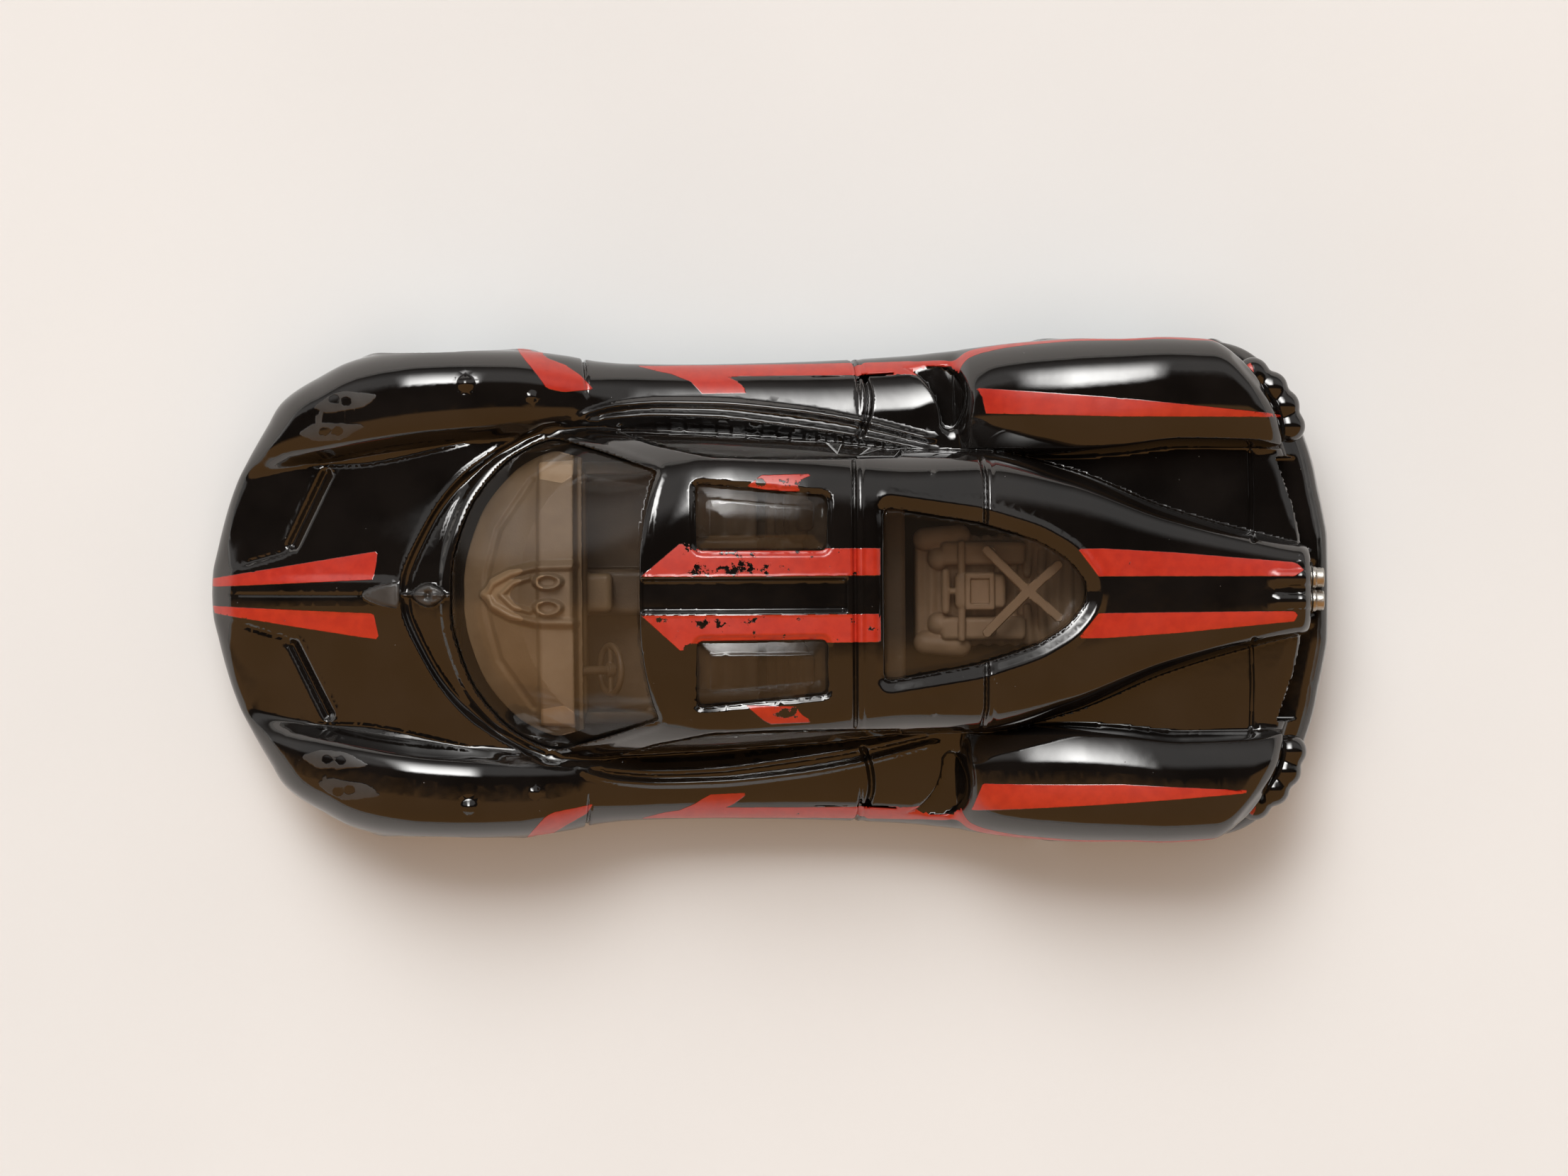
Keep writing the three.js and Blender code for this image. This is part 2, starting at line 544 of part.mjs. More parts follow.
function interiorTub() {
  const outer = [[-14.6, 6.2], [-12.6, 9], [8.6, 8.4], [8.6, -8.4], [-12.6, -9], [-14.6, -6.2]].reverse();
  const inner = [[-14.1, 5.9], [-12.3, 8.3], [7.9, 7.7], [7.9, -7.7], [-12.3, -8.3], [-14.1, -5.9]].reverse();
  const tray = solid(prism(outer, FLOOR_Z, 8.6)).subtract(solid(prism(inner, FLOOR_Z + 0.8, 12)));
  const tunnel = solid(box(-13.8, 8, -1.5, 1.5, FLOOR_Z + 0.4, 6.6));
  const bulkhead = solid(box(7, 8.6, -6.4, 6.4, FLOOR_Z + 0.4, 11.2));
  return geometryOf(tray.add(tunnel).add(bulkhead));
}

// A bucket seat, drawn from the side and extruded across the car, with raised bolsters.
function seat() {
  const side = new THREE.Shape();
  side.moveTo(-3.4, 0);
  side.lineTo(-3.6, 1.2);
  side.quadraticCurveTo(-3.5, 1.9, -2.6, 1.9);
  side.lineTo(1, 1.3);
  side.lineTo(3, 7);
  side.quadraticCurveTo(3.4, 7.9, 4.2, 7.6);
  side.lineTo(4.3, 6.6);
  side.lineTo(2.6, 0);
  const place = (geometry) => geometry.rotateX(Math.PI / 2);
  const pad = place(new THREE.ExtrudeGeometry(side, { depth: 3.2, bevelEnabled: false, curveSegments: 4 }));
  const bolster = new THREE.Shape();
  bolster.moveTo(-3.2, 0);
  bolster.lineTo(-3.3, 2.1);
  bolster.quadraticCurveTo(-3, 2.7, -2, 2.7);
  bolster.lineTo(0.4, 2.4);
  bolster.lineTo(2.2, 6);
  bolster.lineTo(3.7, 5.8);
  bolster.lineTo(2.4, 0);
  const sides = [-0.75, 3.15].map((y) => {
    const wall = place(new THREE.ExtrudeGeometry(bolster, { depth: 0.8, bevelEnabled: false, curveSegments: 4 }));
    return solid(wall.translate(0, y + 0.8, 0));
  });
  return geometryOf(joined([solid(pad.translate(0, 3.2, 0)), ...sides]).translate(0, -1.6, 0));
}

function dashboard() {
  const side = new THREE.Shape();
  side.moveTo(-17.4, 9.6);
  side.quadraticCurveTo(-15.8, 11, -13.6, 11.2);
  side.quadraticCurveTo(-12.7, 11.1, -12.8, 10.2);
  side.lineTo(-13.8, 8.7);
  side.lineTo(-17.4, 9);
  const bar = new THREE.ExtrudeGeometry(side, { depth: 15, bevelEnabled: false, curveSegments: 6 });
  const across = solid(bar.rotateX(Math.PI / 2).translate(0, 7.5, 0));
  const swept = [[-17.6, 0], [-17.2, 3], [-15.8, 6.4], [-14.2, 7.6], [-12.4, 7.6]];
  const outline = mirrorOutline([...swept, [-12.4, 0]].reverse());
  const pod = new THREE.SphereGeometry(1, 16, 8).scale(2.2, 1.7, 0.7).translate(-14.4, 0, 11);
  return geometryOf(across.intersect(solid(prism(outline, 6, 14))).add(solid(pod)));
}

function steeringWheel() {
  const ring = new THREE.TorusGeometry(1.45, 0.22, 6, 18);
  const parts = [
    solid(ring),
    solid(new THREE.CylinderGeometry(0.5, 0.5, 0.4, 12).rotateX(Math.PI / 2)),
    solid(box(-1.4, 1.4, -0.2, 0.2, -0.14, 0.14)),
    solid(box(-0.2, 0.2, -1.4, 0, -0.14, 0.14)),
    solid(new THREE.CylinderGeometry(0.22, 0.22, 1, 10).rotateX(Math.PI / 2).translate(0, 0, -0.55)),
  ];
  return geometryOf(joined(parts));
}

// ---- Engine bay ----
function engineBlock() {
  const sump = solid(box(9.6, 19.6, -3.6, 3.6, FLOOR_Z, 7.4));
  const banks = [2.3, -2.3].map((y) => solid(box(12.6, 18.6, y - 1.1, y + 1.1, 7, 10)));
  const plenum = solid(box(12.8, 18.4, -0.9, 0.9, 7, 10.6));
  const runners = steps(13.4, 17.8, 5).map((x) => solid(barY(x, 10.1, 0.3, -2.9, 2.9, 6)));
  const tank = solid(barZ(11, 2.2, 1, 7, 10.4, 14));
  const airbox = solid(box(10, 12.2, -1.2, 0.6, 7, 10));
  return geometryOf(joined([sump, ...banks, plenum, ...runners, tank, airbox]));
}

function crossBrace() {
  const reach = [2.7, 2.3];
  const length = 2 * Math.hypot(...reach);
  const angle = Math.atan2(reach[1], reach[0]);
  const bars = [angle, -angle].map((turn) => solid(new THREE.BoxGeometry(length, 0.5, 0.5).rotateZ(turn)));
  return geometryOf(joined(bars));
}

function exhaustTips() {
  const { x0, x1, radius, pitch, z } = EXHAUST;
  const pipes = z.flatMap((height) =>
    [pitch, -pitch].map((y) =>
      solid(barX(y, height, radius, x0, x1)).subtract(solid(barX(y, height, radius - 0.2, x1 - 1.6, x1 + 1))),
    ),
  );
  const block = solid(box(x0 - 0.6, x0 + 0.6, -1.2, 1.2, z[0] - 0.5, z[1] + 0.5));
  return geometryOf(joined([block, ...pipes]));
}

// ---- Materials ----
const material = (color, roughness, metalness) => new THREE.MeshStandardMaterial({ color, roughness, metalness });
const PAINT = material(0x0a0808, 0.08, 0);
const SMOKED = material(0x4a3a2c, 0.05, 0);
SMOKED.transparent = true;
SMOKED.opacity = 0.45;
const BASE_PLASTIC = material(0x141312, 0.45, 0);
const CABIN_PLASTIC = material(0x6b5c4d, 0.55, 0);
const STEEL = material(0xb8b8b8, 0.3, 1);
const RIM_PLATING = material(0xc4c4c8, 0.18, 1);
const TYRE = material(0x141414, 0.7, 0);

// ---- Assembly ----
const car = new THREE.Group();

function place(name, geometry, look, parent = car) {
  const mesh = new THREE.Mesh(geometry, look);
  mesh.name = name;
  parent.add(mesh);
  return mesh;
}

place("body_shell", bodyShell(), PAINT);
place("window_insert", windowInsert(), SMOKED);
place("base_plate", basePlate(), BASE_PLASTIC);

for (const [name, x] of [["front_rivet", RIVETS_X[0]], ["rear_rivet", RIVETS_X[1]]]) {
  const mesh = place(name, rivet(), STEEL);
  mesh.rotation.x = Math.PI / 2;
  mesh.position.set(x, 0, BASE_Z + 0.05);
}

place("interior_tub", interiorTub(), CABIN_PLASTIC);
place("dashboard", dashboard(), CABIN_PLASTIC);
for (const [name, y] of [["seat_right", 4.9], ["seat_left", -4.9]]) {
  place(name, seat(), CABIN_PLASTIC).position.set(-1.6, y, FLOOR_Z + 1.1);
}
const wheel = place("steering_wheel", steeringWheel(), CABIN_PLASTIC);
wheel.position.set(-11.4, -4.9, 9.6);
wheel.rotation.y = Math.PI / 3.2;

place("engine_block", engineBlock(), CABIN_PLASTIC);
place("engine_cross_brace", crossBrace(), CABIN_PLASTIC).position.set(16.4, 0, 11.4);
place("exhaust_tips", exhaustTips(), STEEL);

for (const [end, spec] of [["front", FRONT], ["rear", REAR]]) {
  const line = new THREE.Group();
  line.position.set(spec.x, 0, spec.radius);
  car.add(line);
  place(`${end}_axle`, axle(spec), STEEL, line);
  for (const [side, sign] of [["right", 1], ["left", -1]]) {
    const corner = new THREE.Group();
    corner.position.y = sign * (spec.outerY - spec.width / 2);
    corner.rotation.z = sign > 0 ? 0 : Math.PI;
    line.add(corner);
    place(`${end}_${side}_rim`, rim(spec), RIM_PLATING, corner);
    place(`${end}_${side}_tyre`, tyre(spec), TYRE, corner);
  }
}

export default car;
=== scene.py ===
"""Looks for the diecast car: body, glazing, cabin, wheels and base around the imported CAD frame."""

import math

import bpy
import numpy as np
from mathutils import Matrix, Vector


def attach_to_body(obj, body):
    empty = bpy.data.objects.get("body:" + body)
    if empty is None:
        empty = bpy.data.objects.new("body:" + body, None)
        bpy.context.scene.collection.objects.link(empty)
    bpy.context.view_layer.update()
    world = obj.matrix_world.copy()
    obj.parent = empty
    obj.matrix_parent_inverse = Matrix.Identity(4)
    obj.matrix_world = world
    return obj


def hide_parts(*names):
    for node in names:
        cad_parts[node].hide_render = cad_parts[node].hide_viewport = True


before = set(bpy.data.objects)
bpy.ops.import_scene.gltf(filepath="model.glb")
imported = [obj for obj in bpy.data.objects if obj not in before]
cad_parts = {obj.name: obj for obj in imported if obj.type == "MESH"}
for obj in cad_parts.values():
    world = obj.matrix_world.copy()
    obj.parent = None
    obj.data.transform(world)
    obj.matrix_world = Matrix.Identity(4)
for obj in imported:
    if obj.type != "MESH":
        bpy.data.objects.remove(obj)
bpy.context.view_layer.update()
MM = 0.001

# -------- styling curves, in millimetres
# The nose is at -X, the car's right-hand side at +Y. Each curve is a list of (x, value) points.


def curve(points):
    """A smooth function through the points that never overshoots them."""
    xs, ys = np.array(points, float).T
    width = np.diff(xs)
    slope = np.diff(ys) / width
    tangent = np.concatenate([slope[:1], np.zeros(len(xs) - 2), slope[-1:]])
    a, b = slope[:-1], slope[1:]
    same = a * b > 0
    tangent[1:-1][same] = 2 * a[same] * b[same] / (a[same] + b[same])

    def at(x):
        v = np.clip(x, xs[0], xs[-1])
        i = np.clip(np.searchsorted(xs, v, side="right") - 1, 0, len(width) - 1)
        t = (v - xs[i]) / width[i]
        p, q = ys[i], ys[i + 1]
        m, n = tangent[i] * width[i], tangent[i + 1] * width[i]
        return p + t * (m + t * (3 * (q - p) - 2 * m - n + t * (2 * (p - q) + m + n)))

    return at


def smooth(a, b, v):
    t = np.clip((v - a) / (b - a), 0, 1)
    return t * t * (3 - 2 * t)


def rmax(a, b, k):
    """The larger of a and b, with the corner rounded over k."""
    h = np.maximum(k - np.abs(a - b), 0) / k
    return np.maximum(a, b) + h * h * h * k / 6


def rmin(a, b, k):
    return -rmax(-a, -b, k)


def arc_max(a, b, r):
    """The larger of a and b, with the corner turned into an arc of radius r."""
    return np.hypot(np.maximum(a + r, 0), np.maximum(b + r, 0)) - r + np.minimum(np.maximum(a, b) + r, 0)


centre_line = curve([
    (-36.2, 4.9), (-34.5, 6.6), (-31, 8.3), (-27, 9.8), (-23, 11.3), (-20, 12.45), (-18, 13.5),
    (-15, 15.05), (-12, 16.5), (-9, 17.65), (-6, 18.4), (-2.5, 18.8), (1, 18.7), (5, 18.3), (9, 17.6),
    (14, 16.3), (20, 14.8), (26, 13.6), (31, 12.9), (34.5, 12.6), (37, 12.5),
])
deck_line = curve([
    (-36.2, 4.8), (-34.5, 6.4), (-31, 8), (-27, 9.4), (-23, 10.7), (-19, 11.5), (-15, 11.5), (-11, 10.9),
    (-6, 10.5), (2, 10.4), (8, 10.4), (13, 10.6), (18, 10.9), (24, 11), (30, 10.9), (37, 10.9),
])
canopy_half = curve([
    (-22, 11.2), (-14, 11), (-9, 10.4), (-3, 10), (3, 9.6), (9, 9), (13.5, 8.9), (19, 7.7), (25, 5.3),
    (30, 3.8), (34, 2.9), (37, 2.7),
])
canopy_square = curve([(-20, 2.7), (-12, 3.2), (-7, 4.2), (-2, 4.7), (8, 4.7), (14, 5), (37, 5)])
front_crest_z = curve([
    (-37, 4.5), (-34, 6.6), (-31.5, 8.6), (-29, 10.4), (-26, 11.9), (-22.5, 12.9), (-19, 13.1), (-16, 12.6),
    (-13, 11.5), (-10, 10), (-6, 8),
])
front_crest_y = curve([
    (-36, 7.8), (-33, 9.7), (-30, 10.8), (-26, 11.6), (-21, 12.25), (-16, 12.5), (-6, 12.4),
])
rear_crest_z = curve([
    (8, 3), (10.4, 5.5), (11.3, 8), (12, 10.2), (12.8, 11.6), (14.5, 12.7), (17, 13.5), (20, 14.05),
    (24, 14.2), (28, 13.8), (31.5, 12.8), (34, 11.5), (36, 9.8),
])
rear_crest_y = curve([(8, 11.8), (14, 11.65), (18, 11.6), (22, 11.8), (26, 12.2), (30, 12.1), (36, 11.2)])
plan_half = curve([
    (-37, 11.4), (-34, 12), (-31.8, 12.75), (-29, 13.85), (-26.9, 14.85), (-24.5, 15.35), (-20, 15.52),
    (-16, 15.5), (-13, 15.2), (-11, 14.85), (-9, 14.7), (-5, 14.65), (0, 14.75), (5, 14.95), (9, 15.2),
    (12.4, 15.45), (16, 15.8), (20, 16.03), (24, 16.07), (28, 15.9), (31, 15.3), (32.6, 14.5), (34, 13.4),
    (37, 10),
])
nose_plan = curve([
    (0, -36.2), (1.2, -36.15), (3, -35.75), (5.3, -35.1), (7.3, -34.35), (9, -33.4), (11, -32.15),
    (12.2, -31.4), (14, -29), (15.1, -26.8), (17, -24),
])
tail_plan = curve([
    (0, 35.95), (3.1, 35.9), (5, 35.6), (6.4, 35.3), (7.7, 35.05), (8.8, 34.75), (10.1, 34.3),
    (11.6, 33.75), (13, 33), (14.3, 32), (17, 28.6),
])
tail_step = curve([
    (2.4, 1), (3.5, 0.4), (5, 0.05), (6.5, 0), (7.6, 0.2), (8.3, 0.9), (9, 1.9), (10.4, 2.1),
    (11.2, 1.75), (13, 1.6),
])

# The radius of the shoulder between the top and the flank.
shoulder = curve([
    (-36.2, 0.5), (-33.5, 1), (-29, 2), (-20, 2.2), (-14, 2.4), (-11, 2.7), (-8, 2.9), (0, 3.3), (5, 3.7),
    (9, 3.8), (11, 3.2), (14, 2.6), (24, 2.3), (30, 2), (34, 1), (36, 0.6),
])

# How far the windscreen wraps round, the height the canopy's section starts from, and the radius in the
# valley beside each fender.
WRAP = 0.057
FOOT_Z = 8.0
VALLEY = 0.9


def canopy_z(x, a):
    swept = x - WRAP * (1 - smooth(-10, 0, x)) * a * a
    square = canopy_square(x)
    share = np.minimum(1, a / canopy_half(x)) ** square
    return FOOT_Z + (centre_line(swept) - FOOT_Z) * (1 - share) ** (1 / square)


def fender_z(crest, offset, flat, outer, wall, reach=0.0, power=4):
    """A fender's height: flat on its crest, falling gently outwards, and inwards to a steep wall."""
    d = np.clip(np.abs(offset) - flat, 0, 6)
    inward = 0.17 * d**2 + wall * np.maximum(0, d - reach) ** power
    return crest - np.where(offset < 0, inward, outer * d**2)


def base_z(x, a):
    """The height of the bare styling surface over a point; a is the distance from the centre line."""
    deck = deck_line(x) - 0.004 * a * a
    front = fender_z(front_crest_z(x), a - front_crest_y(x), 0.5, 0.11, 0.06)
    rear = fender_z(rear_crest_z(x), a - rear_crest_y(x), 0.35, 0.08, 6.0, 2.2, 2)
    body = rmax(deck, canopy_z(x, a), 0.7 + 1.1 * smooth(10, 18, x))
    return rmax(body, rmax(front, rear, 0.5), VALLEY)


# -------- plan outlines of the details


def rounded(points, radius):
    """A closed outline with each corner turned into a short curve that starts a radius away from it."""
    p = np.array(points, float)
    made = []
    for before, corner, after in zip(np.roll(p, 1, axis=0), p, np.roll(p, -1, axis=0)):
        start, end = (
            corner + (other - corner) * min(0.45, radius / max(np.hypot(*(other - corner)), 1e-9))
            for other in (before, after)
        )
        for t in (0, 0.33, 0.67, 1):
            made.append((1 - t) ** 2 * start + 2 * t * (1 - t) * corner + t * t * end)
    return np.array(made)


def mirror(half):
    return list(half) + [(x, -y) for x, y in reversed(half) if y > 0]


def flowing(points):
    """A smooth open line through the points."""
    p = np.array(points, float)
    p = np.vstack([2 * p[0] - p[1], p, 2 * p[-1] - p[-2]])
    t = np.linspace(0, 1, 5, endpoint=False)[:, None]
    spans = [
        b + 0.5 * t * (c - a + t * (2 * a - 5 * b + 4 * c - d + t * (3 * b - a - 3 * c + d)))
        for a, b, c, d in zip(p, p[1:], p[2:], p[3:])
    ]
    return [tuple(point) for point in np.vstack([*spans, p[-2]])]


def line_distance(points, x, a):
    """Distance from an open line, and the share of the way along it."""
    p = np.array(points, float)
    lengths = np.hypot(*np.diff(p, axis=0).T)
    starts = np.concatenate([[0], np.cumsum(lengths)])
    best, along = None, None
    for (ax, ay), (bx, by), length, start in zip(p[:-1], p[1:], lengths, starts):
        dx, dy = (bx - ax) / length, (by - ay) / length
        t = np.clip((x - ax) * dx + (a - ay) * dy, 0, length)
        d = np.hypot(x - ax - t * dx, a - ay - t * dy)
        s = (start + t) / starts[-1]
        if best is None:
            best, along = d, s + 0 * d
        else:
            nearer = d < best
            best, along = np.where(nearer, d, best), np.where(nearer, s, along)
    return best, along


def outline_distance(points, x, a):
    """Signed distance from a closed outline, negative inside."""
    p = np.array(points, float)
    q = np.roll(p, -1, axis=0)
    best = None
    inside = None
    for (ax, ay), (bx, by) in zip(p, q):
        length = math.hypot(bx - ax, by - ay)
        if length < 1e-9:
            continue
        dx, dy = (bx - ax) / length, (by - ay) / length
        t = np.clip((x - ax) * dx + (a - ay) * dy, 0, length)
        d = np.hypot(x - ax - t * dx, a - ay - t * dy)
        best = d if best is None else np.minimum(best, d)
        if ay != by:
            hit = ((ay > a) != (by > a)) & (x < (bx - ax) * (a - ay) / (by - ay) + ax)
            inside = hit if inside is None else inside ^ hit
    return np.where(inside, -best, best)


def tabled(function, step=0.06):
    """The same function of the plan view, kept in a table and smoothed over one step of it."""
    xs, ys = np.arange(-39, 39, step), np.arange(-0.6, 18.6, step)
    table = function(xs[:, None], np.abs(ys[None, :]))

    def share(t):
        """The weights of the four nearest columns in a cubic B-spline."""
        s = 1 - t
        return s**3 / 6, (3 * t**3 - 6 * t**2 + 4) / 6, (1 + 3 * t + 3 * t**2 - 3 * t**3) / 6, t**3 / 6

    def at(x, a):
        u = np.clip((x - xs[0]) / step, 2, len(xs) - 4)
        v = np.clip((a - ys[0]) / step, 2, len(ys) - 4)
        i, j = np.floor(u).astype(int), np.floor(v).astype(int)
        across = share(v - j)
        return sum(
            row * sum(column * table[i + k - 1, j + n - 1] for n, column in enumerate(across))
            for k, row in enumerate(share(u - i))
        )

    return at


SCREEN = rounded(mirror([
    *flowing([(-8.05, 0), (-8, 3), (-7.5, 6), (-6.95, 7.75)]), (-10.3, 8.95), (-13.3, 9.85),
    *flowing([(-14, 9.8), (-15.2, 9.35), (-16.8, 8.3), (-18.7, 6), (-19.75, 3.4), (-20.15, 1.5), (-20.2, 0)]),
]), 0.5)
ENGINE = rounded(mirror([
    *flowing([(19.9, 0), (19.65, 0.85), (18.7, 2.0), (17.5, 2.8), (16.15, 3.45), (13, 4.45)]), (7.1, 5.4),
]), 0.5)
PANE = rounded([(3.55, 2.75), (3.6, 6.15), (-4.55, 6.95), (-4.5, 2.8)], 0.4)
SIDE = rounded([
    (8.3, 8.5), (5, 8.4), (-0.2, 8.4), (-3.7, 8.55), (-7.2, 9.35), (-10.2, 10.5), (-9.6, 11.3),
    (-3.7, 11.1), (2, 10.7), (8.6, 10.1),
], 0.4)
INTAKE = rounded([
    (8.55, 14.4), (9.2, 14.05), (9.75, 13.6), (10.35, 12.8), (10.75, 12.1), (10.95, 11.1), (11, 10.4),
    (11.8, 10.4), (12.4, 11.8), (12.4, 12.9), (12, 13.7), (11.2, 14.3),
], 0.4)
# The beltline under each side window, as y against x: two beads.
bead_outer = curve([
    (-12.6, 10.9), (-12.1, 11.2), (-9.55, 11.95), (-6.9, 12.15), (-3.7, 12.1), (1.2, 11.65), (5.4, 10.95),
    (10.1, 9.75),
])
bead_inner = curve([
    (-10.8, 10.95), (-10.4, 11.1), (-7.2, 11.35), (-3.7, 11.25), (0.2, 10.8), (5.1, 10.05), (10.3, 8.95),
])
BEAD_HEIGHT, BEAD_WIDTH = 0.26, 0.42
HOOD_EDGE = [(-34.3, 1.75), (-33.9, 1.9), (-30.75, 2.75), (-28.05, 8.15)]
HOOD_PANEL = [(-36.6, 0), (-36.2, 1.4), *HOOD_EDGE[1:], (-27, 12), (-10, 12), (-10, 0)]
COWL = [(-23.4, 0), (-23.25, 1.3), (-22.5, 3.1), (-20.95, 5.8), (-18.9, 8), (-16.4, 9.6), (-14.3, 10.7)]
COWL_PANEL = [*flowing(COWL), (-13, 10.9), (-10, 10), (-10, 0)]
LEAF = rounded([
    (-25.95, 0), (-25.5, 0.3), (-24.6, 0.62), (-23.6, 0.8), (-23.5, 0.4), (-23.55, -0.4), (-23.6, -0.8),
    (-24.6, -0.62), (-25.5, -0.3),
], 0.15)
EYE = rounded([
    (-22.7, 0), (-22.3, 0.45), (-21.6, 0.74), (-21, 0.5), (-20.45, 0), (-21, -0.5), (-21.6, -0.74),
    (-22.3, -0.45),
], 0.3)
DOOR_SEAM = [(5.75, 17), (5.78, 15.2), (6, 14.1), (6.4, 12.7), (6.3, 11.2), (5.85, 10)]
ROOF_SEAM = [(5.3, 0), (5.3, 8.25)]
COVER_SEAM = [(13.5, 4.3), (13.5, 7.2), (13.25, 8.9)]
FLAP = [(30.55, 3.15), (30.6, 5.8), (30.55, 8.75)]
LAMP_EDGE = [(29.5, 14.8), (30.3, 13.8), (31.6, 12.3), (32.6, 10.9), (33, 9.8)]
FENDER_CREASE = [(-31.6, 8.85), (-28.9, 8.4), (-25.4, 8.45), (-20.9, 9.35), (-16.7, 10.45), (-14.8, 10.75)]
DECK_END = [(34.05, -2.5), (34.05, 2.5), (33.65, 6), (33.15, 9.3), (28, 9.3), (28, -2.5)]
# Cast-in nubs, as x, y, radius and height.
NUBS = [
    (-19.05, 13.38, 0.5, 0.22), (-14.9, 12.5, 0.42, 0.16), (10.2, 7.5, 0.22, 0.1), (-9.4, 10.6, 0.25, 0.2),
]
# The lobes of the tail lamps, as x, y and radius, and their height.
LAMPS = [(30.8, 13.65, 1.1), (32.0, 12.8, 1.05), (32.75, 11.65, 1.05), (33.1, 10.35, 1.05)]
LAMP_Z = 9.7
# Each wheel's x, radius, arch radius in the outer skin, and the y of its outer face.
WHEELS = {"front": (-20.5, 5.2, 5.5, 14.9), "rear": (23.0, 5.6, 5.8, 15.4)}
SILL_Z = 2.6
# The thickness of the casting's top.
SHELL = 0.9


def bump(distance, width):
    """1 on a line, falling smoothly to 0 at that distance from it."""
    t = np.clip(1 - distance / width, 0, 1)
    return t * t * (3 - 2 * t)


def details(x, a):
    """Raised and sunken details of the upper surface, as heights to add."""
    h = np.zeros(np.broadcast(x, a).shape)

    def groove(line, width, depth, fade=0.0):
        nonlocal h
        d, s = line_distance(line, x, a)
        end = smooth(0, fade, s) * smooth(0, fade, 1 - s) if fade else 1
        h = h - depth * bump(d, width) * end

    # the bonnet stands above the two nose panels, with a slot along its front edge
    hood = outline_distance(HOOD_PANEL, x, a)
    near_nose = smooth(-36, -33, x) * smooth(-24, -27.5, x)
    h = h - 0.14 * smooth(-0.2, 0.2, hood) * near_nose * smooth(9.4, 8, a)
    d, s = line_distance(HOOD_EDGE[2:], x, a)
    h = h - 0.42 * bump(d, 0.52) * smooth(0, 0.08, s) * smooth(1, 0.92, s)
    h = h + 0.05 * bump(np.abs(d - 0.62), 0.3) * smooth(0, 0.1, s) * smooth(1, 0.9, s)
    groove(HOOD_EDGE[:3], 0.34, 0.08, 0.2)
    # spine between the bonnet stripes
    spine = smooth(-34, -28, x) * smooth(-23.2, -24.2, x)
    h = h + 0.16 * spine * smooth(1.35, 0.75, a)
    # cowl below the windscreen, and a bead along the bonnet's rear edge
    cowl = outline_distance(COWL_PANEL, x, a)
    in_cowl = smooth(0.12, -0.2, cowl)
    h = h - 0.3 * in_cowl * smooth(-12.5, -14.5, x)
    d, s = line_distance(flowing(COWL), x, a)
    h = h + 0.09 * bump(d, 0.4) * smooth(-14, -15.5, x)
    groove(flowing([(px + 0.4, py - 0.16) for px, py in COWL]), 0.36, 0.14, 0.05)
    # surround of the windscreen
    screen = outline_distance(SCREEN, x, a)
    h = h + 0.1 * bump(np.abs(screen - 0.36), 0.42) * smooth(-12, -14, x)
    h = h - 0.08 * bump(np.abs(screen - 0.85), 0.36) * smooth(-12, -14, x)
    h = h + 0.1 * bump(np.abs(screen - 0.35), 0.35) * smooth(-14, -12, x)
    # leaf-shaped pads on the centre line
    h = h + 0.16 * smooth(0.09, -0.09, outline_distance(LEAF, x, a))
    h = h + 0.38 * smooth(0.1, -0.1, outline_distance(EYE, x, a))
    h = h - 0.4 * bump(np.hypot(x + 21.63, a), 0.36)
    # roof channel
    channel = np.maximum(a - 1.0, np.maximum(x - 4.75, -7.9 - x))
    h = h - 0.34 * smooth(0.14, -0.14, channel)
    h = h + 0.07 * bump(np.abs(channel - 0.1), 0.22)
    # roof panes and the engine glass sit in stepped recesses
    pane = outline_distance(PANE, x, a)
    h = h - 0.2 * smooth(0.4, 0.1, pane)
    engine = outline_distance(ENGINE, x, a)
    h = h - 0.32 * smooth(0.75, 0.1, engine) * smooth(6.2, 7.2, x)
    h = h + 0.12 * bump(np.abs(engine - 0.95), 0.45) * smooth(6.5, 7.5, x)
    # seams
    groove(ROOF_SEAM, 0.2, 0.32)
    h = h + 0.1 * bump(np.abs(x - 5.72), 0.25) * smooth(8.6, 8.2, a)
    groove(COVER_SEAM, 0.2, 0.3)
    h = h + 0.1 * bump(np.abs(x - 13.85), 0.3) * smooth(4.2, 5, a) * smooth(8.6, 7.8, a)
    groove(FLAP, 0.22, 0.22)
    # beltline: two beads along the door's top, then a valley down to the side window
    belt = smooth(-12.6, -11.2, x) * smooth(11, 9.8, x)
    beads = [BEAD_HEIGHT * bump(np.abs(a - bead(x)), BEAD_WIDTH) for bead in (bead_outer, bead_inner)]
    h = h + belt * (beads[0] + beads[1])
    drop = smooth(0.25, 1.1, bead_inner(x) - a) * smooth(-0.5, 0.2, a - canopy_half(x))
    h = h - belt * 0.65 * drop * smooth(-10.8, -9.6, x)
    groove(flowing(DOOR_SEAM), 0.32, 0.34)
    # crease inside the front fender, and the edge of the tail lamps
    groove(flowing(FENDER_CREASE), 0.32, 0.1, 0.15)
    groove(flowing(LAMP_EDGE), 0.4, 0.22)
    for nx, ny, r, up in NUBS:
        h = h + up * bump(np.hypot(x - nx, a - ny), r) ** 0.6
    h = h - 0.03 * bump(np.abs(np.hypot(x + 19.05, a - 13.38) - 0.62), 0.2)
    # the deck ends in a fine lip
    lip = outline_distance(DECK_END, x, a)
    h = h + 0.12 * bump(np.abs(lip + 0.35), 0.45) * smooth(30.6, 31.2, x)
    # two pipe-shaped swellings lead to the exhaust
    pipe = np.sqrt(np.clip(1 - ((a - 0.75) / 0.48) ** 2, 0, 1))
    h = h + 0.22 * pipe * smooth(31.3, 32.2, x) * smooth(34.4, 34.1, x)
    return h


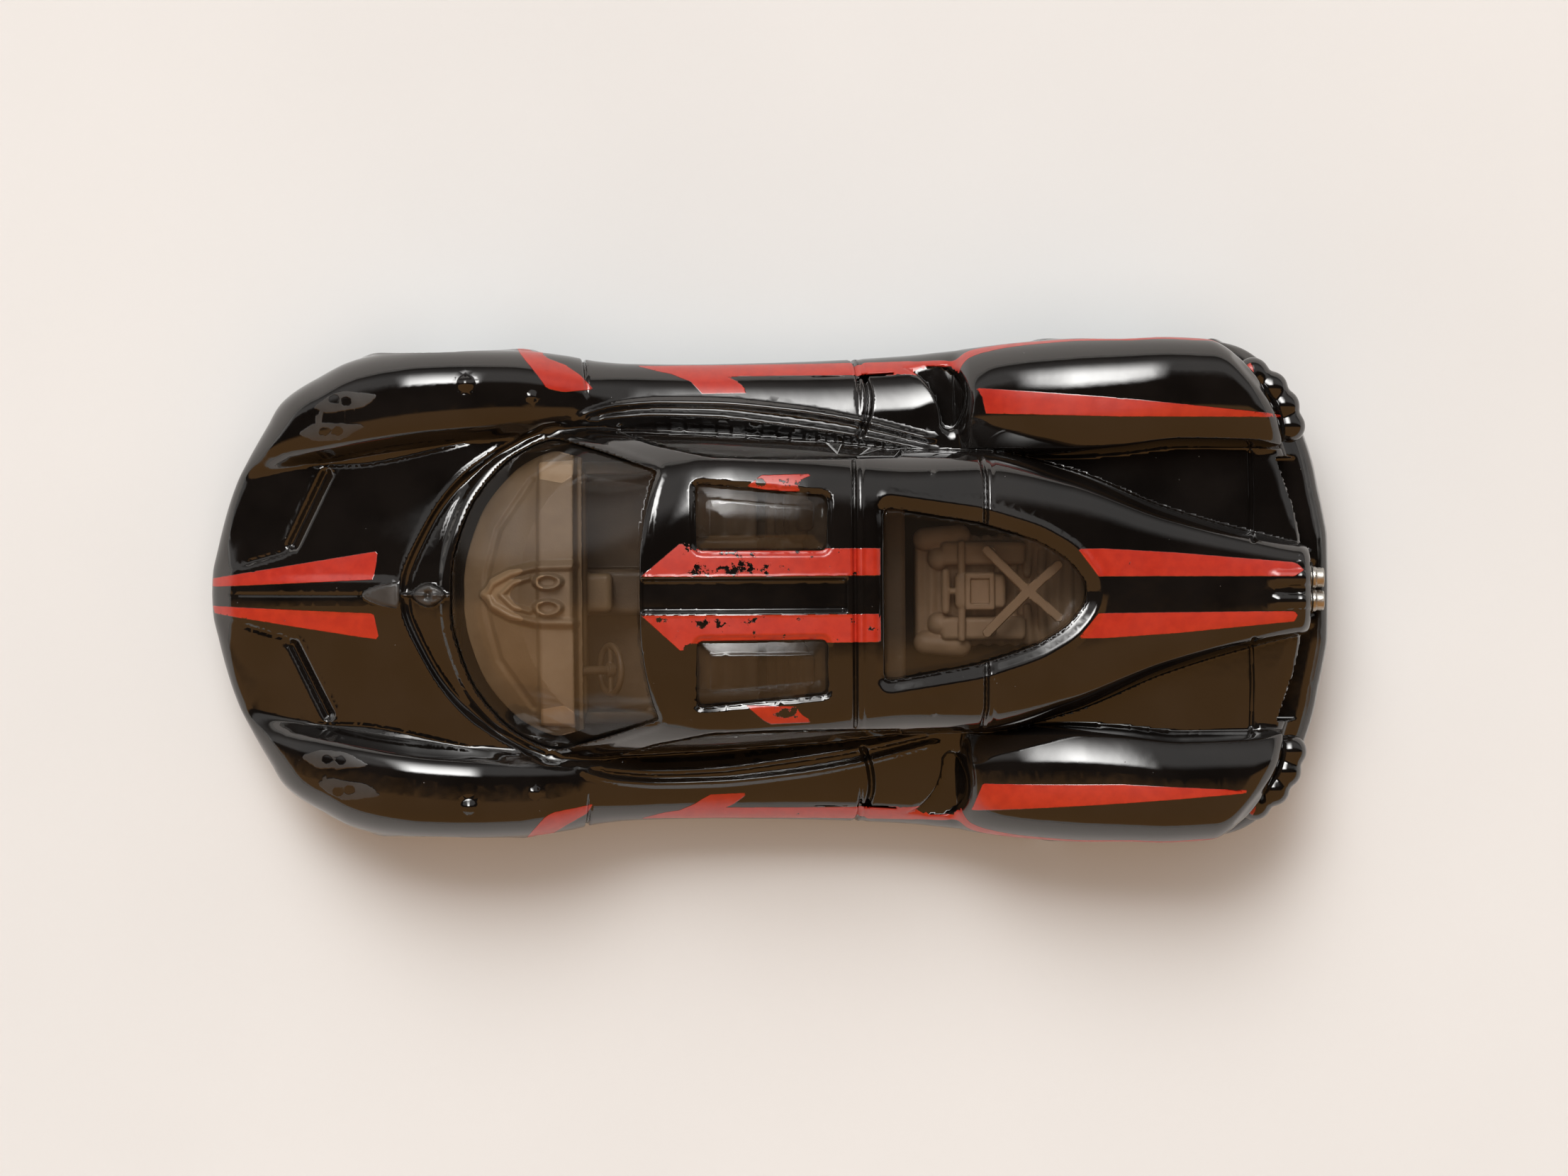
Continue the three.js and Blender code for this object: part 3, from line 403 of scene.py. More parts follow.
detailed_z = tabled(lambda x, a: base_z(x, a) + details(x, a))
intake_edge = tabled(lambda x, a: outline_distance(INTAKE, x, a))
side_edge = tabled(lambda x, a: outline_distance(SIDE, x, a))
pane_edge = tabled(lambda x, a: outline_distance(PANE, x, a))
window_edge = tabled(
    lambda x, a: np.minimum.reduce([outline_distance(outline, x, a) for outline in (SCREEN, ENGINE, PANE)])
)


def flank_y(x, z):
    return plan_half(x) - 0.02 * np.maximum(0, 8 - z) ** 2


def flank_details(x, z):
    """Outward relief of the flank."""
    out = np.zeros(np.broadcast(x, z).shape)
    for wx, wz, arch, _ in WHEELS.values():
        ring = np.hypot(x - wx, z - wz) - arch
        out = out + 0.16 * bump(np.abs(ring - 0.3), 0.45) * smooth(10.4, 8.4, z)
    seam_x = 5.75 - 0.03 * np.maximum(0, 10 - z) ** 2
    out = out - 0.3 * bump(np.abs(x - seam_x), 0.24) * smooth(3.4, 3.9, z)
    out = out - 0.3 * bump(np.abs(x + 12.1 - 0.12 * (z - 6)), 0.2) * smooth(3.4, 3.9, z)
    out = out - 0.3 * bump(np.abs(z - 3.75), 0.2) * smooth(-12.4, -12.1, x) * smooth(15.8, 15.5, x)
    return out


def plan_distance(x, a, z):
    nose = nose_plan(a) + 0.12 * np.maximum(0, 4.4 - z) ** 2 - x
    tail = x - tail_plan(a) + tail_step(z)
    return rmax(rmax(a - flank_y(x, z) - flank_details(x, z), nose, 0.8), tail, 0.8)


def front_face(x, a, z):
    """Cuts in the nose: a grille in the middle and a duct on each side."""
    d = []
    for cy, half, z0, z1, depth in ((0.0, 3.6, 3.1, 4.2, 1.2), (8.6, 3.0, 3.2, 5.0, 1.0)):
        inner = nose_plan(a) + depth - x
        d.append(np.maximum(rmax(np.abs(a - cy) - half, rmax(z0 - z, z - z1, 0.3), 0.3), -inner))
    return np.minimum(*d)


def rear_face(x, a, z):
    """Cuts in the tail: a recess each side of the exhaust, below the deck's lip, and a lower slot."""
    upper = rmax(np.abs(a - 5.4) - 3.0, rmax(8.5 - z, z - 10.2, 0.3), 0.3)
    upper = np.maximum(upper, (tail_plan(a) - 3.4) - x)
    lower = rmax(a - 8.5, rmax(z - 4.1, 2 - z, 0.3), 0.3)
    lower = np.maximum(lower, (tail_plan(a) - 1.6) - x)
    return np.minimum(upper, lower)


def outside(x, a, z):
    f = arc_max(z - detailed_z(x, a), plan_distance(x, a, z), shoulder(x))
    for cx, cy, r in LAMPS:
        f = rmin(f, np.sqrt((x - cx) ** 2 + (a - cy) ** 2 + (z - LAMP_Z) ** 2) - r, 0.5)
    return f


def sunk_z(x, a, depth):
    """The bare styling surface taken in by about a depth."""
    sunk = base_z(x, a)
    for dx, da in ((depth, 0), (-depth, 0), (0, depth), (0, -depth)):
        sunk = np.minimum(sunk, base_z(x + dx, np.abs(a + da)))
    return sunk - depth


def body_field(x, a, z):
    """Negative in the metal of the body."""
    f = outside(x, a, z)
    f = rmax(f, -front_face(x, a, z), 0.2)
    f = rmax(f, -rear_face(x, a, z), 0.2)
    duct = np.maximum(intake_edge(x, a), base_z(x, a) - 1.3 - z)
    f = rmax(f, -duct, 0.35 + 0.8 * smooth(10.9, 11.6, x))
    # the hollow inside, with solid metal left round the intakes, the nose and the tail
    hollow = np.maximum(z - sunk_z(x, a, SHELL), plan_distance(x, a, np.maximum(z, 5)) + 1.2)
    liner = np.maximum(np.abs(x - 10.4) - 2.4, 9.9 - a)
    ends = np.maximum(nose_plan(a) + 2.2 - x, x - (tail_plan(a) - 4.6))
    hollow = np.maximum(np.maximum(hollow, -liner), ends)
    f = rmax(f, -hollow, 0.15)
    # windows
    f = rmax(f, -np.maximum(window_edge(x, a), 9 - z), 0.16)
    side = np.maximum(side_edge(x, a), a - canopy_half(x) - 0.4)
    f = rmax(f, -np.maximum(side, deck_line(x) + 0.25 - z), 0.14)
    # wheel arches
    for wx, wz, arch, out_y in WHEELS.values():
        clear = arch + 0.25 * smooth(out_y + 0.35, out_y + 0.1, a)
        well = np.maximum(np.hypot(x - wx, z - wz) - clear, 10.9 - a)
        f = rmax(f, -well, 0.2)
    # exhaust mouth
    mouth = rmax(a - 1.75, rmax(8.4 - z, z - 11.9, 0.4), 0.4)
    f = rmax(f, -np.maximum(mouth, 31.4 - x), 0.2)
    return rmax(f, SILL_Z - z, 0.2)


# -------- meshing of a field

SETTLING_ROUNDS = 2


def surface_net(field, low, high, step, mirrored):
    """Vertices and quads where a field is 0 in a box; a mirrored field is worked out at y >= 0 only."""
    xs = np.arange(low[0], high[0] + step, step)
    ys = np.arange(0 if mirrored else low[1], high[1] + step, step)
    zs = np.arange(low[2], high[2] + step, step)
    slabs = []
    for i in range(0, len(xs), 40):
        part = xs[i:i + 40, None, None]
        made = field(part, ys[None, :, None], zs[None, None, :]).astype(np.float32)
        slabs.append(np.broadcast_to(made, (len(part), len(ys), len(zs))))
    value = np.concatenate(slabs)
    if mirrored:
        value = np.concatenate([value[:, :0:-1], value], axis=1)
        ys = np.concatenate([-ys[:0:-1], ys])
    inside = value < 0
    shape = np.array(value.shape) - 1
    total = np.zeros(shape, np.float32)
    offset = [np.zeros(shape, np.float32) for _ in range(3)]

    def corner(start):
        return tuple(slice(s, s + n) for s, n in zip(start, shape))

    for axis in range(3):
        others = [k for k in range(3) if k != axis]
        for p in (0, 1):
            for q in (0, 1):
                start = [0, 0, 0]
                start[others[0]], start[others[1]] = p, q
                end = list(start)
                end[axis] = 1
                a, b = value[corner(start)], value[corner(end)]
                cross = inside[corner(start)] != inside[corner(end)]
                total += cross
                offset[axis] += np.where(cross, a / np.where(cross, a - b, 1), 0)
                for k, s in ((others[0], p), (others[1], q)):
                    if s:
                        offset[k] += cross
    active = total > 0
    index = np.full(shape, -1, np.int32)
    index[active] = np.arange(active.sum())
    cells = np.argwhere(active)
    points = np.empty((len(cells), 3))
    for k, axis_values in enumerate((xs, ys, zs)):
        points[:, k] = axis_values[cells[:, k]] + step * offset[k][active] / total[active]
    quads = []
    for axis in range(3):
        b, c = [(1, 2), (2, 0), (0, 1)][axis]
        before, after = [slice(0, None)] * 3, [slice(0, None)] * 3
        before[axis], after[axis] = slice(0, -1), slice(1, None)
        for k in (b, c):
            before[k] = after[k] = slice(1, -1)
        change = inside[tuple(before)].astype(np.int8) - inside[tuple(after)].astype(np.int8)
        for sign in (1, -1):
            at = np.argwhere(change == sign)
            at[:, b] += 1
            at[:, c] += 1
            unit_b, unit_c = np.eye(3, dtype=int)[b], np.eye(3, dtype=int)[c]
            ring = [at - unit_b - unit_c, at - unit_c, at, at - unit_b]
            if sign < 0:
                ring.reverse()
            quads.append(np.stack([index[tuple(r.T)] for r in ring], axis=1))
    return points, np.concatenate(quads)


def mesh_object(name, points, faces):
    mesh = bpy.data.meshes.new(name)
    mesh.vertices.add(len(points))
    mesh.vertices.foreach_set("co", np.asarray(points, np.float32).ravel())
    sides = faces.shape[1]
    mesh.loops.add(faces.size)
    mesh.loops.foreach_set("vertex_index", faces.astype(np.int32).ravel())
    mesh.polygons.add(len(faces))
    mesh.polygons.foreach_set("loop_start", np.arange(0, faces.size, sides, dtype=np.int32))
    mesh.update(calc_edges=True)
    mesh.validate()
    obj = bpy.data.objects.new(name, mesh)
    bpy.context.scene.collection.objects.link(obj)
    return obj


def vertex_array(mesh):
    p = np.empty(len(mesh.vertices) * 3, np.float32)
    mesh.vertices.foreach_get("co", p)
    return p.reshape(-1, 3).astype(float)


def gradient(field, p, mirrored, step=0.02):
    g = np.empty_like(p)
    side = np.abs if mirrored else np.positive
    for k in range(3):
        e = np.zeros(3)
        e[k] = step
        q, r = p + e, p - e
        ahead, behind = (field(v[:, 0], side(v[:, 1]), v[:, 2]) for v in (q, r))
        g[:, k] = (ahead - behind) / (2 * step)
    return g


def thinned(obj, ratio, keep=None):
    """The object's mesh with fewer triangles; keep is how much each vertex is spared, from 0 to 1."""
    thin = obj.modifiers.new("thin", "DECIMATE")
    thin.ratio = ratio
    if keep is not None:
        group = obj.vertex_groups.new(name="spare")
        for level in range(10):
            chosen = np.flatnonzero(np.round(9 * (1 - keep)) == level)
            group.add(chosen.tolist(), level / 9, "REPLACE")
        thin.vertex_group = "spare"
        thin.vertex_group_factor = 0.01
    graph = bpy.context.evaluated_depsgraph_get()
    made = bpy.data.meshes.new_from_object(obj.evaluated_get(graph))
    obj.modifiers.clear()
    obj.vertex_groups.clear()
    obj.data = made
    return made


def from_field(name, field, low, high, step, faces, mirrored=True, keep=None, move=(0, 0, 0), flip=1):
    """A closed mesh of a field: meshed finely, thinned to a number of faces, then pulled to the surface."""
    points, quads = surface_net(field, low, high, step, mirrored)
    obj = mesh_object(name, points, quads)
    spared = keep(points) if keep else None
    made = thinned(obj, min(1.0, faces / (2 * len(quads))), spared)
    p = vertex_array(made)
    side = np.abs if mirrored else np.positive
    for _ in range(SETTLING_ROUNDS):
        g = gradient(field, p, mirrored)
        f = field(p[:, 0], side(p[:, 1]), p[:, 2])
        shift = -(f / np.maximum((g * g).sum(1), 0.05))[:, None] * g
        length = np.linalg.norm(shift, axis=1, keepdims=True)
        p += shift * np.minimum(1, 0.5 * step / np.maximum(length, 1e-9))
    normals = gradient(field, p, mirrored, 0.03)
    normals /= np.maximum(np.linalg.norm(normals, axis=1, keepdims=True), 1e-9)
    p[:, 1] *= flip
    normals[:, 1] *= flip
    made.vertices.foreach_set("co", ((p + np.array(move)) * MM).astype(np.float32).ravel())
    if flip < 0:
        made.flip_normals()
    made.shade_smooth()
    made.normals_split_custom_set_from_vertices(normals.tolist())
    made.update()
    return obj


def attach(obj, body, nodes, replaced):
    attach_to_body(obj, body)
    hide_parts(replaced)
    obj.data.materials.clear()
    obj.data.materials.append(nodes.material)


# -------- prints

# The red areas seen from above, each for one side of the car.
RED_PLAN = [
    [(-36.6, 0.48), (-25.2, 1.0), (-24.85, 2.8), (-36.6, 0.95)],
    [(-36.6, -0.72), (-25.2, -1.17), (-24.85, -2.85), (-36.6, -1.12)],
    [(-7.95, 1.2), (6.87, 1.2), (6.87, 2.87), (-4.9, 2.9), (-4.95, 3.3), (-5.2, 3.5)],
    [(-7.95, -1.2), (6.87, -1.2), (6.87, -2.93), (-4.9, -2.95), (-5.0, -3.2), (-5.4, -3.5)],
    [(-1.35, 6.76), (-0.46, 7.43), (2.8, 7.5), (1.9, 7.1), (1.9, 6.4), (-0.1, 6.5)],
    [(-1.5, -6.8), (-0.7, -7.5), (-0.1, -8), (2.7, -7.9), (1.9, -7.4), (1.6, -6.9)],
    [(19.3, 2.7), (20.6, 0.98), (33.1, 0.87), (33.7, 1.25), (33.2, 1.72), (25.6, 2.4), (21, 2.7)],
    [(19.3, -2.9), (20.6, -1.35), (33.1, -1.35), (33.3, -1.6), (33.1, -2.0), (25.6, -2.65), (21, -2.9)],
    [(13.1, 12.87), (13.5, 12.3), (13.7, 11.25), (22, 10.98), (32.5, 10.9), (32.5, 11.05), (22, 12.13)],
    [(13.4, -12.15), (12.7, -13.9), (22, -13.33), (30, -12.78), (30, -12.6), (22, -12.13)],
    [(-16.3, 16), (-15.6, 15.1), (-14.6, 13.9), (-14, 13.03), (-12.98, 12.8), (-11.1, 12.98),
     (-11.95, 13.9), (-12.9, 14.55), (-14.2, 15.05), (-14.7, 16)],
    [(-15.9, -16), (-15.5, -15.39), (-14.3, -14.07), (-13.77, -13.82), (-11.35, -13.4), (-11.73, -14),
     (-13, -14.7), (-14, -15.35), (-14.3, -16)],
    [(-8.2, 15), (-7.8, 14.6), (-4.93, 13.45), (-4.25, 12.68), (-1.3, 12.7), (-1.87, 13.4), (-3.57, 14.2),
     (-4.5, 15)],
    [(-8, -15), (-7.1, -14.46), (-4.93, -13.54), (-4, -12.9), (-1.45, -12.8), (-2.4, -13.54),
     (-3.7, -14.14), (-4.5, -15)],
]
# The stripe along each flank, as (x, z).
RED_FLANK = [
    (-8.6, 7.9), (-7, 8.5), (-5, 8.75), (5, 8.65), (9, 8.9), (12, 9.7), (14, 10.4), (18, 11.15), (23, 11.9),
    (27, 11.75), (30.8, 10.8), (30.6, 10.5), (27, 11.05), (23, 11.5), (18, 10.5), (14, 9.4), (9, 7.6),
    (5, 7.3), (-5, 7.3),
]
# The lamp prints on the front fenders, on both sides, and the dark bulbs left out of them.
GREY_PLAN = [
    [(-29, 11.9), (-28, 12.6), (-27, 13), (-24.5, 12.65), (-25.6, 11.9), (-28.1, 11.6)],
    [(-30, 10.3), (-28.8, 11), (-25.3, 10.8), (-27, 9.9), (-28.8, 9.8)],
]
BULBS = [(-27.5, 12.45), (-28.2, 10.4), (-26.7, 12.3), (-27.3, 10.45)]
BULB_RADIUS = 0.3
# Rubbed strips of the roof's print: two ends and a half-width.
WORN = [
    ((-4.6, 1.6), (-0.2, 1.75), 0.45), ((-4.7, 3.2), (-5.3, 3.3), 0.4), ((-6.9, -1.5), (-6.6, -1.5), 0.3),
    ((-4.6, -1.6), (-1, -1.7), 0.3), ((-4.2, -3.1), (-5.2, -3.2), 0.4), ((0.4, -7.15), (1.5, -7.3), 0.45),
    ((-0.6, 6.95), (2, 6.9), 0.3),
]
# Millimetres added to a distance to keep a print off a place.
OFF = 9


def put_attribute(mesh, name, values):
    made = mesh.attributes.new(name, "FLOAT", "POINT")
    made.data.foreach_set("value", np.asarray(values, np.float32))


def add_print(obj):
    """Signed distances to the printed outlines, in millimetres, on every point of the body."""
    x, y, z = (vertex_array(obj.data) / MM).T
    buried = smooth(-0.2, -0.3, outside(x, np.abs(y), z)) * OFF
    above = smooth(4.7, 4.4, z) * OFF + buried
    low = np.where(np.abs(y) > 12.3, 8 - z, -OFF)
    red = np.minimum.reduce([outline_distance(outline, x, y) for outline in RED_PLAN])
    red = np.maximum(red, low) + above
    flank = outline_distance(RED_FLANK, x, z) + smooth(13.8, 13.4, np.abs(y)) * OFF + buried
    grey = [outline_distance(rounded(outline, 0.35), x, np.abs(y)) for outline in GREY_PLAN]
    pads = np.minimum(outline_distance(LEAF, x, y), outline_distance(EYE, x, y)) - 0.02
    bulb = np.minimum.reduce([np.hypot((x - bx) * 0.8, np.abs(y) - by) for bx, by in BULBS])
    worn = np.zeros(len(x))
    for start, end, reach in WORN:
        d, _ = line_distance([start, end], x, y)
        worn = np.maximum(worn, smooth(reach * 1.6, reach * 0.4, d))
    worn = np.where((np.abs(y) < 3.6) & (x > -8) & (x < 7), np.maximum(worn, 0.3), worn)
    put_attribute(obj.data, "red_edge", np.minimum(red, flank))
    put_attribute(obj.data, "grey_edge", np.minimum.reduce([*grey, pads]) + above)
    put_attribute(obj.data, "bulb_edge", bulb - BULB_RADIUS + above)
    put_attribute(obj.data, "worn", worn)


# -------- materials


class Tree:
    """Short ways to build a node tree."""

    def __init__(self, tree):
        self.tree = tree
        self.tree.nodes.clear()

    def node(self, kind, inputs=(), **settings):
        made = self.tree.nodes.new(kind)
        for key, value in settings.items():
            setattr(made, key, value)
        for slot, value in dict(inputs).items():
            if isinstance(value, bpy.types.NodeSocket):
                self.tree.links.new(value, made.inputs[slot])
            else:
                made.inputs[slot].default_value = value
        return made

    def maths(self, operation, *values):
        return self.node("ShaderNodeMath", enumerate(values), operation=operation).outputs[0]

    def ramp(self, value, low, high, out_low=0.0, out_high=1.0):
        inputs = {"Value": value, "From Min": low, "From Max": high, "To Min": out_low, "To Max": out_high}
        made = self.node("ShaderNodeMapRange", inputs, interpolation_type="SMOOTHSTEP")
        return made.outputs["Result"]


class Nodes(Tree):
    """A material with one Principled shader, patterned in the car's own coordinates."""

    def __init__(self, name, **values):
        self.material = bpy.data.materials.new(name)
        self.material.use_nodes = True
        super().__init__(self.material.node_tree)
        output = self.node("ShaderNodeOutputMaterial")
        self.shader = self.node("ShaderNodeBsdfPrincipled")
        self.tree.links.new(self.shader.outputs[0], output.inputs[0])
        for key, value in values.items():
            self.shader.inputs[key].default_value = value
        self.position = self.node("ShaderNodeTexCoord").outputs["Object"]

    def attribute(self, name):
        return self.node("ShaderNodeAttribute", attribute_name=name).outputs["Fac"]

    def noise(self, per_mm, detail=3.0, rough=0.5):
        inputs = {"Vector": self.position, "Scale": per_mm / MM, "Detail": detail, "Roughness": rough}
        return self.node("ShaderNodeTexNoise", inputs).outputs["Fac"]

    def cells(self, per_mm):
        inputs = {"Vector": self.position, "Scale": per_mm / MM}
        return self.node("ShaderNodeTexVoronoi", inputs).outputs["Distance"]

    def mix(self, fac, a, b):
        a, b = (colour if isinstance(colour, bpy.types.NodeSocket) else (*colour, 1) for colour in (a, b))
        return self.node("ShaderNodeMix", {0: fac, 6: a, 7: b}, data_type="RGBA").outputs[2]

    def link(self, value, slot):
        self.tree.links.new(value, self.shader.inputs[slot])

    def bump(self, height):
        """Bump from a height in millimetres."""
        made = self.node("ShaderNodeBump", {"Height": height, "Strength": 1.0, "Distance": MM})
        self.link(made.outputs[0], "Normal")


# The two tones that each finish wanders between, and the colour of dust.
BLACK_TONES = (0.0042, 0.0034, 0.003), (0.0075, 0.006, 0.0052)
RED_TONES = (0.34, 0.013, 0.005), (0.41, 0.021, 0.007)
GREY_TONES = (0.013, 0.0115, 0.0105), (0.022, 0.0195, 0.0175)
DUST_COLOUR = (0.3, 0.29, 0.27)
SMOKE_TONES = (0.016, 0.012, 0.009), (0.026, 0.02, 0.015)
# The paler band's two tones are painted light on the dashboard's raised bar.
LIT_BAND_TONES = (0.36, 0.245, 0.15), (0.44, 0.31, 0.195)


def painted():
    """Gloss black enamel over the casting, with satin red and grey printing that has worn on the roof."""
    m = Nodes("gloss_black_enamel", IOR=1.75)
    ragged = m.maths("MULTIPLY_ADD", m.noise(2.2, 5, 0.62), 0.16, -0.08)
    chips = m.maths("ADD", m.noise(1.3, 6, 0.66), m.maths("MULTIPLY", m.attribute("worn"), 0.24))
    chipped = m.ramp(chips, 0.7, 0.722)
    red_edge = m.maths("ADD", m.attribute("red_edge"), m.maths("MULTIPLY", ragged, 0.35))
    red = m.maths("MULTIPLY", m.ramp(red_edge, 0.03, -0.03), m.maths("SUBTRACT", 1.0, chipped))
    grey = m.ramp(m.maths("ADD", m.attribute("grey_edge"), ragged), 0.05, -0.05)
    bulb = m.ramp(m.maths("ADD", m.attribute("bulb_edge"), ragged), 0.04, -0.04)
    grey = m.maths("MULTIPLY", grey, m.maths("SUBTRACT", 1.0, bulb))
    cloud = m.noise(0.25, 3)
    black = m.mix(m.ramp(cloud, 0.3, 0.7), *BLACK_TONES)
    dust = m.ramp(m.cells(1.1), 0.045, 0.02)
    dust = m.maths("MULTIPLY", dust, m.ramp(m.noise(0.3, 2), 0.52, 0.62))
    black = m.mix(m.maths("MULTIPLY", dust, 0.35), black, DUST_COLOUR)
    print_tone = m.ramp(m.noise(1.6, 4, 0.6), 0.3, 0.7)
    red_ink = m.mix(print_tone, *RED_TONES)
    grey_ink = m.mix(print_tone, *GREY_TONES)
    m.link(m.mix(red, m.mix(grey, black, grey_ink), red_ink), "Base Color")
    printed = m.maths("MAXIMUM", red, m.maths("MULTIPLY", grey, 0.9))
    gloss = m.ramp(m.noise(0.6, 4, 0.6), 0.3, 0.75, 0.035, 0.09)
    satin = m.maths("ADD", m.maths("MULTIPLY", red, 0.26), m.maths("MULTIPLY", grey, 0.42))
    m.link(m.maths("ADD", gloss, satin), "Roughness")
    flow = m.maths("MULTIPLY", m.noise(0.55, 2), 0.012)
    grain = m.maths("MULTIPLY", m.noise(9, 2), 0.0005)
    height = m.maths("ADD", m.maths("ADD", flow, grain), m.maths("MULTIPLY", printed, 0.012))
    m.bump(m.maths("ADD", height, m.maths("MULTIPLY", dust, 0.01)))
    return m


def moulded(name, dark, light, rough=(0.42, 0.58), grain=0.012, wear=(0.5, 0.46, 0.42), lit_band=None):
    """Moulded plastic: two tones, a fine grain and paler rubbed patches; a band along the car may be paler,
    as painted light on a raised part.
    """
    m = Nodes(name)
    tone = m.ramp(m.noise(0.35, 4, 0.6), 0.3, 0.7)
    rubbed = m.ramp(m.noise(0.9, 5, 0.7), 0.62, 0.8, 0, 0.22)
    colour = m.mix(rubbed, m.mix(tone, dark, light), wear)
    if lit_band:
        along = m.node("ShaderNodeSeparateXYZ", {0: m.position}).outputs[0]
        middle, half = (lit_band[0] + lit_band[1]) / 2 * MM, (lit_band[1] - lit_band[0]) / 2 * MM
        away = m.maths("ABSOLUTE", m.maths("SUBTRACT", along, middle))
        inside = m.ramp(away, half + 0.1 * MM, half - 0.1 * MM)
        colour = m.mix(inside, colour, m.mix(tone, *LIT_BAND_TONES))
    m.link(colour, "Base Color")
    m.link(m.ramp(m.noise(1.4, 3), 0.3, 0.7, *rough), "Roughness")
    m.bump(m.maths("MULTIPLY", m.noise(6, 3, 0.6), grain))
    return m


def metal(name, dark, light, rough=(0.12, 0.3), grain=0.006):
    """Bright metal: two tones, uneven gloss and a fine grain."""
    m = Nodes(name, Metallic=1.0)
    m.link(m.mix(m.ramp(m.noise(0.8, 5, 0.6), 0.3, 0.7), dark, light), "Base Color")
    m.link(m.ramp(m.noise(1.7, 4, 0.6), 0.25, 0.75, *rough), "Roughness")
    m.bump(m.maths("MULTIPLY", m.noise(7, 3), grain))
    return m


def smoked():
    """Brown-tinted clear plastic, a little uneven."""
    m = Nodes("smoked_glazing", IOR=2.2, Alpha=0.28)
    m.link(m.mix(m.ramp(m.noise(0.2, 3), 0.3, 0.7), *SMOKE_TONES), "Base Color")
    m.link(m.ramp(m.noise(0.9, 5, 0.65), 0.35, 0.8, 0.02, 0.09), "Roughness")
    m.bump(m.maths("MULTIPLY", m.noise(0.7, 2), 0.012))
    return m


PAINT = painted()
GLAZING = smoked()
CABIN = moulded("warm_grey_cabin_plastic", (0.38, 0.235, 0.13), (0.48, 0.305, 0.18))
# The dashboard plastic is paler across its raised bar: painted light where the bar catches the light.
DASH = moulded(
    "dashboard_plastic", (0.25, 0.16, 0.085), (0.32, 0.21, 0.115), wear=(0.36, 0.26, 0.17),
    lit_band=(-14.45, -12.5),
)
# A darker copy of the cabin plastic for the tub, the seats and the steering wheel: painted shade for the dark
# under the roof.
SHADED_CABIN = moulded("cabin_plastic_painted_shade", (0.14, 0.09, 0.052), (0.19, 0.124, 0.074), (0.38, 0.55))
BASE = moulded(
    "black_base_plastic", (0.016, 0.015, 0.015), (0.028, 0.027, 0.026), (0.34, 0.5), 0.01,
    (0.09, 0.085, 0.08),
)
TYRE = moulded(
    "tyre_vinyl", (0.018, 0.018, 0.019), (0.03, 0.029, 0.028), (0.5, 0.68), 0.015, (0.085, 0.08, 0.072)
)
PLATED = metal("plated_rim", (0.62, 0.62, 0.64), (0.8, 0.79, 0.78), (0.1, 0.24))
STEEL = metal("axle_steel", (0.45, 0.44, 0.43), (0.6, 0.59, 0.57), (0.25, 0.42), 0.01)
SILVER = metal("silver_printed_pipes", (0.4, 0.38, 0.35), (0.56, 0.54, 0.5), (0.32, 0.48), 0.012)

# -------- body


def spare(points):
    """How much each point of the body is spared in thinning: hidden faces least, fine detail most."""
    shown = smooth(-0.7, -0.3, outside(points[:, 0], np.abs(points[:, 1]), points[:, 2]))
    x, a, z = points[shown > 0].T
    bend = 6 * body_field(x, np.abs(a), z)
    for dx, da, dz in np.concatenate([np.eye(3), -np.eye(3)]) * 0.15:
        bend = bend - body_field(x + dx, np.abs(a + da), z + dz)
    shown[shown > 0] *= 0.26 + 8 * np.abs(bend)
    return np.clip(shown, 0, 1)


BODY_STEP, BODY_FACES = ((0.15, 196000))
body = from_field(
    "body_casting", body_field, (-37, 0, 2.1), (37, 17.5, 19.5), BODY_STEP, BODY_FACES, keep=spare
)
add_print(body)
attach(body, "chassis", PAINT, "body_shell")

# -------- glazing

INSERT_EDGE = rounded(mirror([
    (20.9, 0), (19.9, 2.8), (17, 4.5), (12.6, 5.7), (9.6, 8), (3, 9), (-4, 9.5), (-9, 9.9), (-13.6, 9.8),
    (-16.6, 8.4), (-18.8, 5.8), (-19.9, 3), (-20.2, 0),
]), 0.6)


def surface_distance(x, a, z):
    """Height above the bare surface, scaled by its slope."""
    along = base_z(x + 0.1, a) - base_z(x - 0.1, a)
    across = base_z(x, a + 0.1) - base_z(x, np.abs(a - 0.1))
    slope = np.hypot(along, across) / 0.2
    return (z - base_z(x, a)) / np.sqrt(1 + np.minimum(slope, 8) ** 2)


def glazing_field(x, a, z):
    """One moulding: a sheet under the roof, and panes that fill the windows."""
    above = surface_distance(x, a, z)
    under = sunk_z(x, a, SHELL)
    sheet = np.maximum(z - under + 0.35, outline_distance(INSERT_EDGE, x, a))
    pane = rmax(np.minimum(window_edge(x, a), side_edge(x, a)) + 0.08, above + 0.15, 0.45)
    # the roof panes fall away towards their edges and have a stepped border
    edge = pane_edge(x, a)
    step = 0.12 * smooth(-0.75, -0.95, edge)
    pane = np.maximum(pane, above + 0.3 - step + 0.22 * np.maximum(0, edge + 0.75) * (edge < 1))
    f = np.maximum(np.minimum(sheet, pane), under - 0.75 - z)
    return np.maximum(f, a - canopy_half(x) + 0.12)


GLASS_STEP = 0.16
glass = from_field("smoked_windows", glazing_field, (-21, 0, 9), (22, 10.4, 19), GLASS_STEP, 60000)
attach(glass, "chassis", GLAZING, "window_insert")

# -------- cabin


def block(x, y, z, centre, half, r):
    """A rounded box."""
    q = [np.abs(v - c) - h + r for v, c, h in zip((x, y, z), centre, half)]
    beyond = np.sqrt(sum(np.maximum(v, 0) ** 2 for v in q))
    return beyond + np.minimum(np.maximum(np.maximum(q[0], q[1]), q[2]), 0) - r


